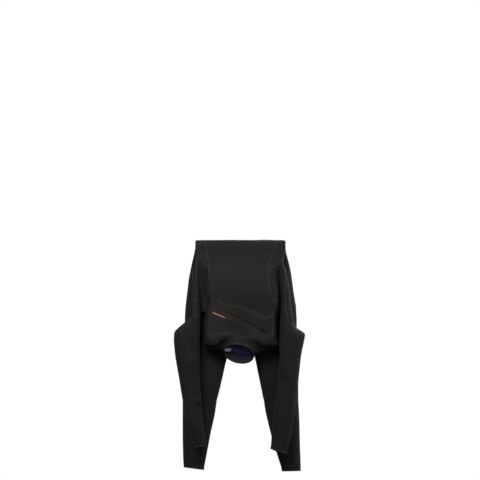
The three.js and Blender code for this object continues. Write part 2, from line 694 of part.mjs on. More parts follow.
addWaist();
addTorso();
addYokeAndCollar();
addFlapSeamTape();
addChestMark();
addZipTrack();
addSlider();
addPull();
addSleeve('left', leftSleeveRows());
addSleeve('right', rightSleeveRows());
addPelvis();
addLeg('left', leftLegRows());
addLeg('right', rightLegRows());

export default suit;
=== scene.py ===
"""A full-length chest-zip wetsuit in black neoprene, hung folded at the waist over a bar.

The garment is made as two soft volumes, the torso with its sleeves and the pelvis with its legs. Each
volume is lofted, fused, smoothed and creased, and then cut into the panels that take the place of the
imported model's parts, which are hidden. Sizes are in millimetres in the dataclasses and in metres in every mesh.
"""

import logging
import math
from dataclasses import dataclass, field
from enum import Enum
from typing import Callable, Iterable, Sequence

import bmesh
import bpy
import numpy as np
from mathutils import Matrix, Vector, noise
from mathutils.bvhtree import BVHTree


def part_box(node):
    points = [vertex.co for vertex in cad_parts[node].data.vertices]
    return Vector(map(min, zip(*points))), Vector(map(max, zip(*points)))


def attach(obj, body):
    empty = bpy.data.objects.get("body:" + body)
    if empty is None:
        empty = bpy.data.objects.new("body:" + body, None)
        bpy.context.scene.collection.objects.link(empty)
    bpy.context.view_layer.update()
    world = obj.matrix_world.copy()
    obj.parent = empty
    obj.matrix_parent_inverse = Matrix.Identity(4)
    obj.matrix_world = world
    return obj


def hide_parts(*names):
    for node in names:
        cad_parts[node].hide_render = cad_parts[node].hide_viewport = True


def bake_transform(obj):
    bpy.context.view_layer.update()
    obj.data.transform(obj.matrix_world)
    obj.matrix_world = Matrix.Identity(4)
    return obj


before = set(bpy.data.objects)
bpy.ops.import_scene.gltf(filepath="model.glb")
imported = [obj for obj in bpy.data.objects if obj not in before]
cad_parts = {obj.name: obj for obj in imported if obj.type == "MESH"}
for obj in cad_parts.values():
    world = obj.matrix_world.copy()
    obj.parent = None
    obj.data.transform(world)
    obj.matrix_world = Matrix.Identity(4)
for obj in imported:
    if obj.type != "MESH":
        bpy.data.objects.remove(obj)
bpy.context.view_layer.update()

logging.basicConfig(level=logging.INFO, format="%(message)s")
log = logging.getLogger("wetsuit")

MM = 0.001
VOXEL = 4.2 * MM
NEOPRENE_WALL = 3.6 * MM
HALF_TURN = 180.0
# Half of the width that the collar's arch takes, and the round bar's seat with half the folded fabric.
ARCH_HALF = 96.0
SEAT = 13.0
FOLD_HALF = 6.0
# The wave texture repeats about once in this many of its units.
WAVE_TURN = 6.28
# Colour stops that the cloudy variation runs between, and how far the roughness goes to each side.
CLOUD_LOW, CLOUD_HIGH = 0.12, 0.42
ROUGHNESS_SPREAD = 0.06


# --- Small helpers ----------------------------------------------------------------------------------


def linear(code: str) -> tuple[float, float, float, float]:
    """Turns an sRGB hex colour into the linear values that a shader takes.

    Args:
        code: Six hex digits, with or without a leading mark.

    Returns:
        Red, green, blue and an alpha of 1.
    """
    digits = code.lstrip("#")
    parts = [int(digits[i : i + 2], 16) / 255 for i in (0, 2, 4)]
    low = [p / 12.92 if p <= 0.04045 else ((p + 0.055) / 1.055) ** 2.4 for p in parts]
    return (low[0], low[1], low[2], 1.0)


def millimetres(x: float, y: float, z: float) -> Vector:
    """Makes a point in metres from millimetres."""
    return Vector((x, y, z)) * MM


def link(name: str, mesh: bpy.types.Mesh) -> bpy.types.Object:
    """Puts a mesh in the scene as a new object at the origin."""
    piece = bpy.data.objects.new(name, mesh)
    bpy.context.scene.collection.objects.link(piece)
    return piece


def mesh_from(bm: bmesh.types.BMesh, name: str) -> bpy.types.Mesh:
    """Writes a bmesh into a new mesh with smooth faces, and frees it."""
    for face in bm.faces:
        face.smooth = True
    mesh = bpy.data.meshes.new(name)
    bm.to_mesh(mesh)
    bm.free()
    return mesh


def pour(source: bmesh.types.BMesh, into: bmesh.types.BMesh) -> None:
    """Adds one bmesh to another, and frees the first."""
    mesh = bpy.data.meshes.new("poured")
    source.to_mesh(mesh)
    source.free()
    into.from_mesh(mesh)
    bpy.data.meshes.remove(mesh)


def tree_of(mesh: bpy.types.Mesh) -> BVHTree:
    """Makes the tree that lines and labels are laid on."""
    bm = bmesh.new()
    bm.from_mesh(mesh)
    tree = BVHTree.FromBMesh(bm)
    bm.free()
    return tree


def applied(piece: bpy.types.Object) -> bpy.types.Object:
    """Applies an object's modifiers to its mesh."""
    graph = bpy.context.evaluated_depsgraph_get()
    mesh = bpy.data.meshes.new_from_object(piece.evaluated_get(graph))
    old = piece.data
    piece.modifiers.clear()
    piece.data = mesh
    bpy.data.meshes.remove(old)
    return piece


def points_of(mesh: bpy.types.Mesh) -> np.ndarray:
    """Reads a mesh's points as an array of rows."""
    flat = np.empty(len(mesh.vertices) * 3)
    mesh.vertices.foreach_get("co", flat)
    return flat.reshape(-1, 3)


def normals_of(mesh: bpy.types.Mesh) -> np.ndarray:
    """Reads a mesh's point normals as an array of rows."""
    flat = np.empty(len(mesh.vertices) * 3)
    mesh.vertex_normals.foreach_get("vector", flat)
    return flat.reshape(-1, 3)


# --- Finishes ---------------------------------------------------------------------------------------


def add_node(tree: bpy.types.NodeTree, kind: str, inputs: dict | None = None, **settings) -> bpy.types.Node:
    """Adds a shader node, with its settings, values and links.

    Args:
        tree: The material's node tree.
        kind: The node's type name.
        inputs: Socket name or number to a value, or to the socket that feeds it.
        settings: Attributes of the node.

    Returns:
        The new node.
    """
    made = tree.nodes.new(kind)
    for key, value in settings.items():
        setattr(made, key, value)
    for socket, value in (inputs or {}).items():
        if isinstance(value, bpy.types.NodeSocket):
            tree.links.new(value, made.inputs[socket])
        else:
            made.inputs[socket].default_value = value
    return made


class Weave(Enum):
    """The small relief on a finish's surface."""

    JERSEY = "jersey"
    SKIN = "skin"
    FLEECE = "fleece"
    PLAIN = "plain"
    HEX = "hex"
    STITCH = "stitch"


@dataclass(frozen=True)
class Finish:
    """A finish: its colours, how rough it is, and its relief with a real pitch.

    Args:
        name: The material's name.
        slot: The record's material slot; not used.
        colour: Base colour as sRGB hex.
        worn: The colour that cloudy variation goes to.
        roughness: Roughness of the surface.
        sheen: Weight of the soft sheen that fibres give.
        weave: The kind of relief.
        pitch_mm: Distance between the relief's repeats, drawn as coarse as it needs to show.
        relief_mm: Height of the relief.
        metallic: Whether the surface is a metal.
        specular: Strength of the plain reflection, against 0.5 for a solid plastic.
        patches_mm: Size of the cloudy variation.
    """

    name: str
    slot: str
    colour: str
    worn: str
    roughness: float
    sheen: float = 0.0
    weave: Weave = Weave.PLAIN
    pitch_mm: float = 2.0
    relief_mm: float = 0.1
    metallic: float = 0.0
    specular: float = 0.5
    patches_mm: float = 90.0

    def relief(self, tree: bpy.types.NodeTree, place: bpy.types.NodeSocket) -> bpy.types.NodeSocket:
        """Makes the height pattern of the weave.

        Args:
            tree: The material's node tree.
            place: The coordinates that the pattern reads, in metres.

        Returns:
            The socket that gives the height.
        """
        per_metre = 1000 / self.pitch_mm
        if self.weave is Weave.JERSEY:
            ribs, rows = (
                add_node(
                    tree,
                    "ShaderNodeTexWave",
                    {"Vector": place, "Scale": per_metre / WAVE_TURN, "Distortion": 1.5, "Detail": 1.0},
                    wave_type="BANDS",
                    bands_direction=way,
                ).outputs["Fac"]
                for way in "XZ"
            )
            return add_node(tree, "ShaderNodeMath", {0: ribs, 1: rows}, operation="MULTIPLY").outputs[0]
        if self.weave is Weave.HEX:
            cells = add_node(
                tree,
                "ShaderNodeTexVoronoi",
                {"Vector": place, "Scale": per_metre, "Randomness": 0.12},
                feature="DISTANCE_TO_EDGE",
            )
            edge = add_node(tree, "ShaderNodeMapRange", {"Value": cells.outputs["Distance"], "From Max": 0.12})
            return edge.outputs["Result"]
        if self.weave is Weave.STITCH:
            loops = add_node(
                tree,
                "ShaderNodeTexWave",
                {"Vector": place, "Scale": per_metre / WAVE_TURN},
                wave_type="BANDS",
                bands_direction="X",
            )
            return loops.outputs["Fac"]
        detail = 4.0 if self.weave is Weave.FLEECE else 2.0
        grain = add_node(
            tree,
            "ShaderNodeTexNoise",
            {"Vector": place, "Scale": per_metre, "Detail": detail, "Roughness": 0.6},
        )
        return grain.outputs["Fac"]

    def build(self) -> bpy.types.Material:
        """Makes the material, once.

        Returns:
            The Blender material.
        """
        known = bpy.data.materials.get(self.name)
        if known is not None:
            return known
        material = bpy.data.materials.new(self.name)
        material.use_nodes = True
        tree = material.node_tree
        shader = tree.nodes["Principled BSDF"]
        shader.inputs["Metallic"].default_value = self.metallic
        shader.inputs["Specular IOR Level"].default_value = self.specular
        shader.inputs["Sheen Weight"].default_value = self.sheen
        shader.inputs["Sheen Roughness"].default_value = 0.45
        where = add_node(tree, "ShaderNodeTexCoord")
        place = where.outputs["UV" if self.weave is Weave.STITCH else "Object"]
        cloud = add_node(
            tree,
            "ShaderNodeTexNoise",
            {"Vector": where.outputs["Object"], "Scale": 1000 / self.patches_mm, "Detail": 3.0, "Roughness": 0.55},
        )
        fibre = add_node(
            tree,
            "ShaderNodeTexNoise",
            {"Vector": where.outputs["Object"], "Scale": 1000 / (self.pitch_mm * 1.4), "Detail": 2.0},
        )
        blend = add_node(
            tree,
            "ShaderNodeMath",
            {0: cloud.outputs["Fac"], 1: fibre.outputs["Fac"]},
            operation="MULTIPLY",
        )
        share = add_node(
            tree,
            "ShaderNodeMapRange",
            {"Value": blend.outputs[0], "From Min": CLOUD_LOW, "From Max": CLOUD_HIGH},
        )
        ramp = add_node(tree, "ShaderNodeValToRGB", {"Fac": share.outputs["Result"]})
        ramp.color_ramp.elements[0].color = linear(self.colour)
        ramp.color_ramp.elements[1].color = linear(self.worn)
        tree.links.new(ramp.outputs["Color"], shader.inputs["Base Color"])
        rough = add_node(
            tree,
            "ShaderNodeMapRange",
            {
                "Value": cloud.outputs["Fac"],
                "From Min": 0.3,
                "From Max": 0.7,
                "To Min": self.roughness - ROUGHNESS_SPREAD,
                "To Max": self.roughness + ROUGHNESS_SPREAD,
            },
        )
        tree.links.new(rough.outputs["Result"], shader.inputs["Roughness"])
        height = self.relief(tree, place)
        bump = add_node(
            tree,
            "ShaderNodeBump",
            {"Height": height, "Distance": self.relief_mm * MM, "Strength": 1.0},
        )
        tree.links.new(bump.outputs["Normal"], shader.inputs["Normal"])
        return material


# Nylon jersey laminated on foam rubber: matt, with a soft sheen from its fibres. Its knit is about
# 0.5 mm, drawn at 1.8 mm so that it shows.
JERSEY = Finish(
    "black_nylon_jersey", "neoprene_jersey", "#151311", "#1e1c19", 0.75, 0.05, Weave.JERSEY, 1.8, 0.10, specular=0.16
)
# Smooth-skin foam rubber, pressed with a fine mesh: tighter and a little glossier.
SKIN = Finish(
    "smooth_skin_rubber", "smooth_skin", "#171513", "#1f1d1b", 0.55, 0.0, Weave.SKIN, 1.2, 0.05, specular=0.2
)
# Brushed polyester inside the chest and neck.
PURPLE = Finish(
    "purple_brushed_lining", "purple_lining", "#35315f", "#56518f", 0.9, 0.1, Weave.FLEECE, 2.2, 0.35, specular=0.1
)
# Plain dark lining of the collar and the limbs. Inside the torso, past the purple band, the same dark lining
# is painted shade: it stands for the black shadow deep in the neck opening.
DARK_LINING_AND_PAINTED_SHADE = Finish(
    "dark_knit_lining_and_painted_shade", "neoprene_jersey", "#19181f", "#25242c", 0.88, 0.05, Weave.FLEECE, 1.6, 0.12, specular=0.15
)
# Abrasion-resistant rubber print on the knees, in small cells.
KNEE = Finish(
    "knee_print_rubber", "knee_rubber", "#101011", "#181819", 0.55, 0.0, Weave.HEX, 6.0, 0.35, specular=0.25
)
# Blind-stitched, glued seam with a line of rubber: a little lighter and glossier than the jersey.
SEAM = Finish(
    "stitched_seam", "seam_tape", "#26231e", "#34302a", 0.6, 0.0, Weave.STITCH, 3.0, 0.30, specular=0.22
)
# Screen-printed rubber ink.
PRINT = Finish(
    "copper_screen_print", "orange_print", "#8a5c40", "#a87c5e", 0.55, 0.0, Weave.PLAIN, 1.5, 0.05, specular=0.2
)
# Woven satin, blank.
LABEL = Finish(
    "white_satin_label", "white_label", "#c8c6d8", "#e2e1ec", 0.6, 0.1, Weave.PLAIN, 0.8, 0.05, specular=0.2
)
# Moulded nylon coil and woven tape.
NYLON = Finish(
    "moulded_zip_nylon", "zip_nylon", "#0a0a0b", "#101011", 0.45, 0.0, Weave.PLAIN, 0.8, 0.03, specular=0.3
)
# Woven polyester tape and dyed coil, the same charcoal as the jersey around them.
TAPE = Finish(
    "woven_polyester_tape", "zip_nylon", "#1c1a18", "#252220", 0.75, 0.05, Weave.JERSEY, 1.2, 0.06, specular=0.16
)
COIL = Finish(
    "dyed_nylon_coil", "zip_nylon", "#191715", "#211f1d", 0.6, 0.0, Weave.PLAIN, 0.8, 0.03, specular=0.18
)
# Black lacquered die-cast slider, bare at its edges.
LACQUER = Finish(
    "lacquered_zinc", "zip_metal", "#101011", "#28282a", 0.4, 0.0, Weave.PLAIN, 0.8, 0.02, 0.5
)


# --- Tubes ------------------------------------------------------------------------------------------


@dataclass(frozen=True)
class Ring:
    """One section of a tube, in millimetres.

    Args:
        x, y, z: The section's middle.
        half: Half of its width along X.
        depth: Half of its depth.
        round_: Length of the rounded end at each side.
        tilt: Turn of the section about X, in degrees.
        rise: How far the suit's front side is raised.
        fall: How far the suit's back side is lowered.
        edge: Exponent of the rounded end: 0.5 is an ellipse, and more is a sharper crease.
        arch: How far the middle of the suit's front side is raised, within the collar's width.
    """

    x: float
    y: float
    z: float
    half: float
    depth: float
    round_: float
    tilt: float = 0.0
    rise: float = 0.0
    fall: float = 0.0
    edge: float = 0.5
    arch: float = 0.0

    def values(self) -> np.ndarray:
        """Gives the numbers in one row."""
        return np.array(
            [
                self.x, self.y, self.z, self.half, self.depth, self.round_,
                self.tilt, self.rise, self.fall, self.edge, self.arch,
            ]
        )


@dataclass
class Tube:
    """A closed tube through rings, smooth between them."""

    rings: list[Ring]
    table: np.ndarray = field(init=False)

    def __post_init__(self) -> None:
        """Keeps the rings as one table."""
        self.table = np.array([r.values() for r in self.rings])

    def at(self, v: float) -> np.ndarray:
        """Gives the ring at v, on a smooth curve through its neighbours that doesn't overshoot.

        Args:
            v: Place along the tube, counted in rings.

        Returns:
            The ring's numbers in one row.
        """
        last = len(self.rings) - 1
        low = min(max(int(v), 0), last - 1)
        t = v - low
        a, b = self.table[low], self.table[low + 1]
        before = self.table[max(low - 1, 0)]
        after = self.table[min(low + 2, last)]
        m0, m1 = (b - before) / 2, (after - a) / 2
        step = b - a
        m0 = np.where(np.sign(m0) == np.sign(step), np.sign(m0) * np.minimum(abs(m0), 2 * abs(step)), 0)
        m1 = np.where(np.sign(m1) == np.sign(step), np.sign(m1) * np.minimum(abs(m1), 2 * abs(step)), 0)
        t2, t3 = t * t, t * t * t
        return (2 * t3 - 3 * t2 + 1) * a + (t3 - 2 * t2 + t) * m0 + (3 * t2 - 2 * t3) * b + (t3 - t2) * m1

    def point(self, v: float, q: float) -> Vector:
        """Gives a point of the surface in metres.

        Args:
            v: Place along the tube, counted in rings.
            q: Place round it: 0 is its +X side, 2 the suit's front, 4 its -X side and 6 its back.

        Returns:
            The point.
        """
        x, y, z, half, depth, round_, tilt, rise, fall, edge, arch = self.at(v)
        turn = q % 8
        side = -1 if turn > 4 else 1
        s = 8 - turn if turn > 4 else turn
        flat = half - round_
        if s < 1 or s > 3:
            angle = (s if s < 1 else 4 - s) * math.pi / 2
            across = (flat + round_ * math.cos(angle)) * (1 if s < 1 else -1)
            out = depth * math.sin(angle) ** (2 * edge)
        else:
            across, out = flat * (2 - s), depth
        out *= side
        lift = (rise if out > 0 else fall) * out / depth
        if out > 0:
            lift += arch * math.sqrt(max(0.0, 1 - (across / ARCH_HALF) ** 2)) * out / depth
        a = math.radians(tilt)
        return millimetres(x + across, y - out * math.cos(a), z + out * math.sin(a) + lift)


def loft(bm: bmesh.types.BMesh, tube: Tube, along: int, around: int = 96) -> None:
    """Adds a tube to a bmesh as one closed skin, from a grid that is wrapped round and filled at its ends.

    Args:
        bm: The bmesh that takes the skin.
        tube: The tube.
        along: Steps from its first ring to its last.
        around: Steps round it.
    """
    skin = bmesh.new()
    bmesh.ops.create_grid(skin, x_segments=around, y_segments=along, size=0.5)
    last = len(tube.rings) - 1
    for vert in skin.verts:
        vert.co = tube.point((vert.co.y + 0.5) * last, (vert.co.x + 0.5) * 8)
    bmesh.ops.remove_doubles(skin, verts=skin.verts, dist=0.02 * MM)
    bmesh.ops.holes_fill(skin, edges=[e for e in skin.edges if e.is_boundary], sides=0)
    bmesh.ops.triangulate(skin, faces=[f for f in skin.faces if len(f.verts) > 4])
    bmesh.ops.recalc_face_normals(skin, faces=skin.faces)
    pour(skin, bm)


def over_bar(tilts: Sequence[float]) -> list[Ring]:
    """Makes the rings that go round the bar.

    Args:
        tilts: Each ring's turn about X, in degrees.

    Returns:
        The rings in order.
    """
    reach = SEAT + FOLD_HALF
    rings = []
    for tilt in tilts:
        a = math.radians(tilt)
        y, z = -reach * math.cos(a), reach * math.sin(a)
        rings.append(Ring(2, y, z, 200, FOLD_HALF, FOLD_HALF, tilt))
    return rings


@dataclass(frozen=True)
class Fold:
    """A soft fold in the neoprene: a ridge, or a crease if its height is negative, along a line.

    Args:
        path: Points of the line, in millimetres.
        radius: How far it reaches to each side.
        height: How far it stands out.
    """

    path: tuple[tuple[float, float, float], ...]
    radius: float
    height: float


def distance_to_path(points: np.ndarray, path: np.ndarray) -> np.ndarray:
    """Measures each point's distance to a line of points.

    Args:
        points: Rows of points.
        path: Rows of the line's points.

    Returns:
        One distance for each point.
    """
    best = np.full(len(points), 1e9)
    for a, b in zip(path[:-1], path[1:]):
        ab = b - a
        t = np.clip(((points - a) @ ab) / max(ab @ ab, 1e-12), 0, 1)
        best = np.minimum(best, np.linalg.norm(points - (a + t[:, None] * ab), axis=1))
    return best


def crease(mesh: bpy.types.Mesh, folds: Iterable[Fold]) -> None:
    """Moves a mesh's points along their normals into its folds.

    Args:
        mesh: The garment's mesh.
        folds: Its folds.
    """
    points, normals = points_of(mesh), normals_of(mesh)
    push = np.zeros(len(points))
    for fold in folds:
        path = np.array(fold.path) * MM
        near = distance_to_path(points, path) / (fold.radius * MM)
        push += fold.height * MM * np.exp(-(near**2))
    mesh.vertices.foreach_set("co", (points + normals * push[:, None]).ravel())
    mesh.update()


def soften(mesh: bpy.types.Mesh, rounds: int, ripple_mm: float, seed: float) -> None:
    """Smooths away the voxel steps and gives the neoprene its slow unevenness.

    Args:
        mesh: The garment's mesh.
        rounds: Times that its points are smoothed.
        ripple_mm: Height of the unevenness.
        seed: Offset of its noise.
    """
    bm = bmesh.new()
    bm.from_mesh(mesh)
    for _ in range(rounds):
        bmesh.ops.smooth_vert(bm, verts=bm.verts, factor=0.5, use_axis_x=True, use_axis_y=True, use_axis_z=True)
    bm.normal_update()
    for vert in bm.verts:
        place = Vector((vert.co.x * 14, vert.co.y * 14, vert.co.z * 7 + seed))
        vert.co += vert.normal * (noise.noise(place) * ripple_mm * MM)
    bm.to_mesh(mesh)
    bm.free()


def fused(name: str, volumes: Sequence[tuple[Tube, int]]) -> bpy.types.Object:
    """Lofts several volumes and fuses them into one skin.

    Args:
        name: The new object's name.
        volumes: Each tube and its steps along.

    Returns:
        The fused skin's object.
    """
    bm = bmesh.new()
    for tube, along in volumes:
        loft(bm, tube, along)
    piece = link(name, mesh_from(bm, name))
    remesh = piece.modifiers.new("fuse", "REMESH")
    remesh.mode = "VOXEL"
    remesh.voxel_size = VOXEL
    remesh.adaptivity = 0
    return applied(piece)


# --- Cutting the garment into its panels --------------------------------------------------------------


@dataclass(frozen=True)
class Plane:
    """A cutting plane: what its normal points at is cut away.

    Args:
        at: A point of the plane, in millimetres.
        away: The normal.
    """

    at: tuple[float, float, float]
    away: tuple[float, float, float]


@dataclass(frozen=True)
class Region:
    """The part of a skin that one panel is cut from.

    Args:
        planes: Planes that cut the rest away.
        scores: Planes that only score the skin, so that an edge runs along them.
        drop: Says whether a face, by its middle in millimetres, is left out after the scoring.
    """

    planes: tuple[Plane, ...]
    scores: tuple[Plane, ...] = ()
    drop: Callable[[Vector], bool] | None = None

    def cut(self, source: bpy.types.Mesh) -> bmesh.types.BMesh:
        """Cuts the region out of a copy of a mesh.

        Args:
            source: The whole skin's mesh.

        Returns:
            The region's bmesh.
        """
        bm = bmesh.new()
        bm.from_mesh(source)
        for plane, clears in [(p, True) for p in self.planes] + [(p, False) for p in self.scores]:
            bmesh.ops.bisect_plane(
                bm,
                geom=bm.verts[:] + bm.edges[:] + bm.faces[:],
                dist=0.01 * MM,
                plane_co=Vector(plane.at) * MM,
                plane_no=Vector(plane.away).normalized(),
                clear_outer=clears,
            )
        if self.drop is not None:
            gone = [f for f in bm.faces if self.drop(f.calc_center_median() / MM)]
            bmesh.ops.delete(bm, geom=gone, context="FACES")
        return bm


@dataclass(frozen=True)
class Bend:
    """Where a panel would bend from one body to the next; no bend is made, only the transform is baked.

    Args:
        first: The body that it follows before the start; not used.
        then: The body that it follows after the end; not used.
            x, y: The joint's place, in millimetres; not used.
            start, end: Heights where the bend starts and ends, in millimetres; not used.
    """

    first: str
    then: str
    x: float
    y: float
    start: float
    end: float

    def apply(self, piece: bpy.types.Object) -> None:
        """Bakes a piece's transform into its mesh; it is not blended between the two bodies."""
        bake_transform(piece)


def thicken(piece: bpy.types.Object, thickness: float, inside: int) -> None:
    """Gives a panel its wall, inwards, with its rim kept crisp.

    Args:
        piece: The panel's object.
        thickness: The wall, in metres.
        inside: How many material slots further the inner faces' finish is.
    """
    bm = bmesh.new()
    bm.from_mesh(piece.data)
    for edge in bm.edges:
        if edge.is_boundary:
            edge.smooth = False
    bm.to_mesh(piece.data)
    bm.free()
    wall = piece.modifiers.new("wall", "SOLIDIFY")
    wall.thickness = thickness
    wall.offset = -1
    wall.material_offset = inside
    wall.material_offset_rim = 0
    applied(piece)


def dress(piece: bpy.types.Object, *finishes: Finish) -> None:
    """Gives an object its finishes, one for each slot."""
    piece.data.materials.clear()
    for finish in finishes:
        piece.data.materials.append(finish.build())


# --- Seams and other trims that lie on the skin --------------------------------------------------------


class Side(Enum):
    """The side that a trim's line is laid from."""

    FRONT = "front"
    REAR = "rear"
    NEAREST = "nearest"


@dataclass(frozen=True)
class Line:
    """A line on the skin.

    Args:
        points: Its points in millimetres: X and Z where it is laid from the front or rear, or X, Y and Z.
        side: The side that it is laid from.
        width: The trim's width.
        height: How far the trim stands out.
    """

    points: tuple[tuple[float, ...], ...]
    side: Side = Side.FRONT
    width: float = 3.0
    height: float = 0.6

    def laid(self, skin: BVHTree, step: float = 4.0) -> list[tuple[Vector, Vector]]:
        """Lays the line on a skin.

        Args:
            skin: The skin's tree.
            step: Distance between the laid points, in millimetres.

        Returns:
            Each laid point and the skin's normal there.
        """
        raw = [Vector((p[0], 0, p[1])) if len(p) == 2 else Vector(p) for p in self.points]
        dense = spread(smooth_path(raw), step)
        found = []
        for point in dense:
            if self.side is Side.NEAREST:
                hit = skin.find_nearest(point * MM)
            else:
                way = 1 if self.side is Side.FRONT else -1
                hit = skin.ray_cast(Vector((point.x * MM, -0.4 * way, point.z * MM)), Vector((0, way, 0)))
            if hit[0] is not None:
                found.append((hit[0], hit[1]))
        for _ in range(3):
            inner = [eased(a, b, c) for a, b, c in zip(found, found[1:], found[2:])]
            found = [found[0]] + inner + [found[-1]]
        return found


Laid = tuple[Vector, Vector]


def eased(a: Laid, b: Laid, c: Laid) -> Laid:
    """Evens out a laid point and its normal between its neighbours."""
    return ((a[0] + b[0] * 2 + c[0]) / 4, (a[1] + b[1] * 2 + c[1]).normalized())


def smooth_path(points: Sequence[Vector], steps: int = 8) -> list[Vector]:
    """Runs a smooth curve through points.

    Args:
        points: The points.
        steps: Parts that each stretch is divided into.

    Returns:
        The curve's points.
    """
    if len(points) == 2:
        return [points[0].lerp(points[1], i / steps) for i in range(steps + 1)]
    path = []
    for i in range(len(points) - 1):
        a, b = points[i], points[i + 1]
        before = points[i - 1] if i else a * 2 - b
        after = points[i + 2] if i + 2 < len(points) else b * 2 - a
        for k in range(steps):
            t = k / steps
            path.append(
                0.5
                * (
                    2 * a
                    + (b - before) * t
                    + (2 * before - 5 * a + 4 * b - after) * t**2
                    + (3 * a - before - 3 * b + after) * t**3
                )
            )
    return path + [points[-1]]


def spread(path: Sequence[Vector], step: float) -> list[Vector]:
    """Spaces a path's points evenly.

    Args:
        path: The path.
        step: The spacing wanted.

    Returns:
        Evenly spaced points from the path's start to its end.
    """
    lengths = [0.0]
    for a, b in zip(path, path[1:]):
        lengths.append(lengths[-1] + (b - a).length)
    total = lengths[-1]
    count = max(2, round(total / step))
    out, k = [], 0
    for i in range(count + 1):
        want = total * i / count
        while k < len(path) - 2 and lengths[k + 1] < want:
            k += 1
        share = (want - lengths[k]) / max(lengths[k + 1] - lengths[k], 1e-9)
        out.append(path[k].lerp(path[k + 1], min(max(share, 0), 1)))
    return out


def bead(
    bm: bmesh.types.BMesh, laid: Sequence[Laid], width: float, height: float, closed: bool = False
) -> None:
    """Adds a low rounded strip along laid points, from a grid wrapped round them.

    Args:
        bm: The bmesh that takes it.
        laid: Each point and the skin's normal there.
        width: The strip's width, in millimetres.
        height: How far it stands out, in millimetres.
        closed: Whether its end joins its start.
    """
    around, along = 8, len(laid) - 1
    strip = bmesh.new()
    uv = strip.loops.layers.uv.new("UVMap")
    bmesh.ops.create_grid(strip, x_segments=along, y_segments=around, size=0.5)
    lengths = [0.0]
    for (a, _), (b, _) in zip(laid, laid[1:]):
        lengths.append(lengths[-1] + (b - a).length)
    for face in strip.faces:
        for loop in face.loops:
            i = round((loop.vert.co.x + 0.5) * along)
            loop[uv].uv = (lengths[i], loop.vert.co.y * width * MM * 2)
    for vert in strip.verts:
        i = round((vert.co.x + 0.5) * along)
        angle = (vert.co.y + 0.5) * 2 * math.pi
        point, up = laid[i]
        if closed:
            ahead, behind = laid[(i + 1) % along][0], laid[(i - 1) % along][0]
        else:
            ahead, behind = laid[min(i + 1, along)][0], laid[max(i - 1, 0)][0]
        forward = (ahead - behind).normalized()
        across = forward.cross(up).normalized()
        out = up.normalized()
        lift = math.sin(angle) * height * (1.0 if math.sin(angle) > 0 else 0.8)
        vert.co = point + across * (math.cos(angle) * width / 2 * MM) + out * (lift * MM)
    bmesh.ops.remove_doubles(strip, verts=strip.verts, dist=0.005 * MM)
    if not closed:
        bmesh.ops.holes_fill(strip, edges=[e for e in strip.edges if e.is_boundary], sides=0)
    bmesh.ops.recalc_face_normals(strip, faces=strip.faces)
    pour(strip, bm)


def border(mesh: bpy.types.Mesh, near: Callable[[Vector], bool]) -> list[Vector]:
    """Walks along the open edge of a mesh.

    Args:
        mesh: The mesh.
        near: Says whether a point, in millimetres, is on the edge that is wanted.

    Returns:
        The edge's points in order, with the first repeated at the end.
    """
    bm = bmesh.new()
    bm.from_mesh(mesh)
    edges = {e for e in bm.edges if e.is_boundary and all(near(v.co / MM) for v in e.verts)}
    loops = []
    while edges:
        edge = edges.pop()
        walk = [edge.verts[0], edge.verts[1]]
        while walk[-1] is not walk[0]:
            step = next((e for e in walk[-1].link_edges if e in edges), None)
            if step is None:
                break
            edges.discard(step)
            walk.append(step.other_vert(walk[-1]))
        loops.append([v.co.copy() for v in walk])
    bm.free()
    return max(loops, key=len)


# --- The garment ---------------------------------------------------------------------------------------


def limb(rows: Sequence[tuple[float, float, float, float]], y: float, tilt: float) -> Tube:
    """Makes a limb's tube.

    Args:
        rows: Height, outer edge, inner edge and half depth of each section, in millimetres.
        y: Where the limb hangs.
        tilt: 0 where the suit's front faces -Y and 180 where it faces +Y.

    Returns:
        The tube.
    """
    return Tube(
        [
            Ring((a + b) / 2, y, z, abs(a - b) / 2, depth, abs(a - b) / 2 * 0.72, tilt, edge=0.5)
            for z, a, b, depth in rows
        ]
    )


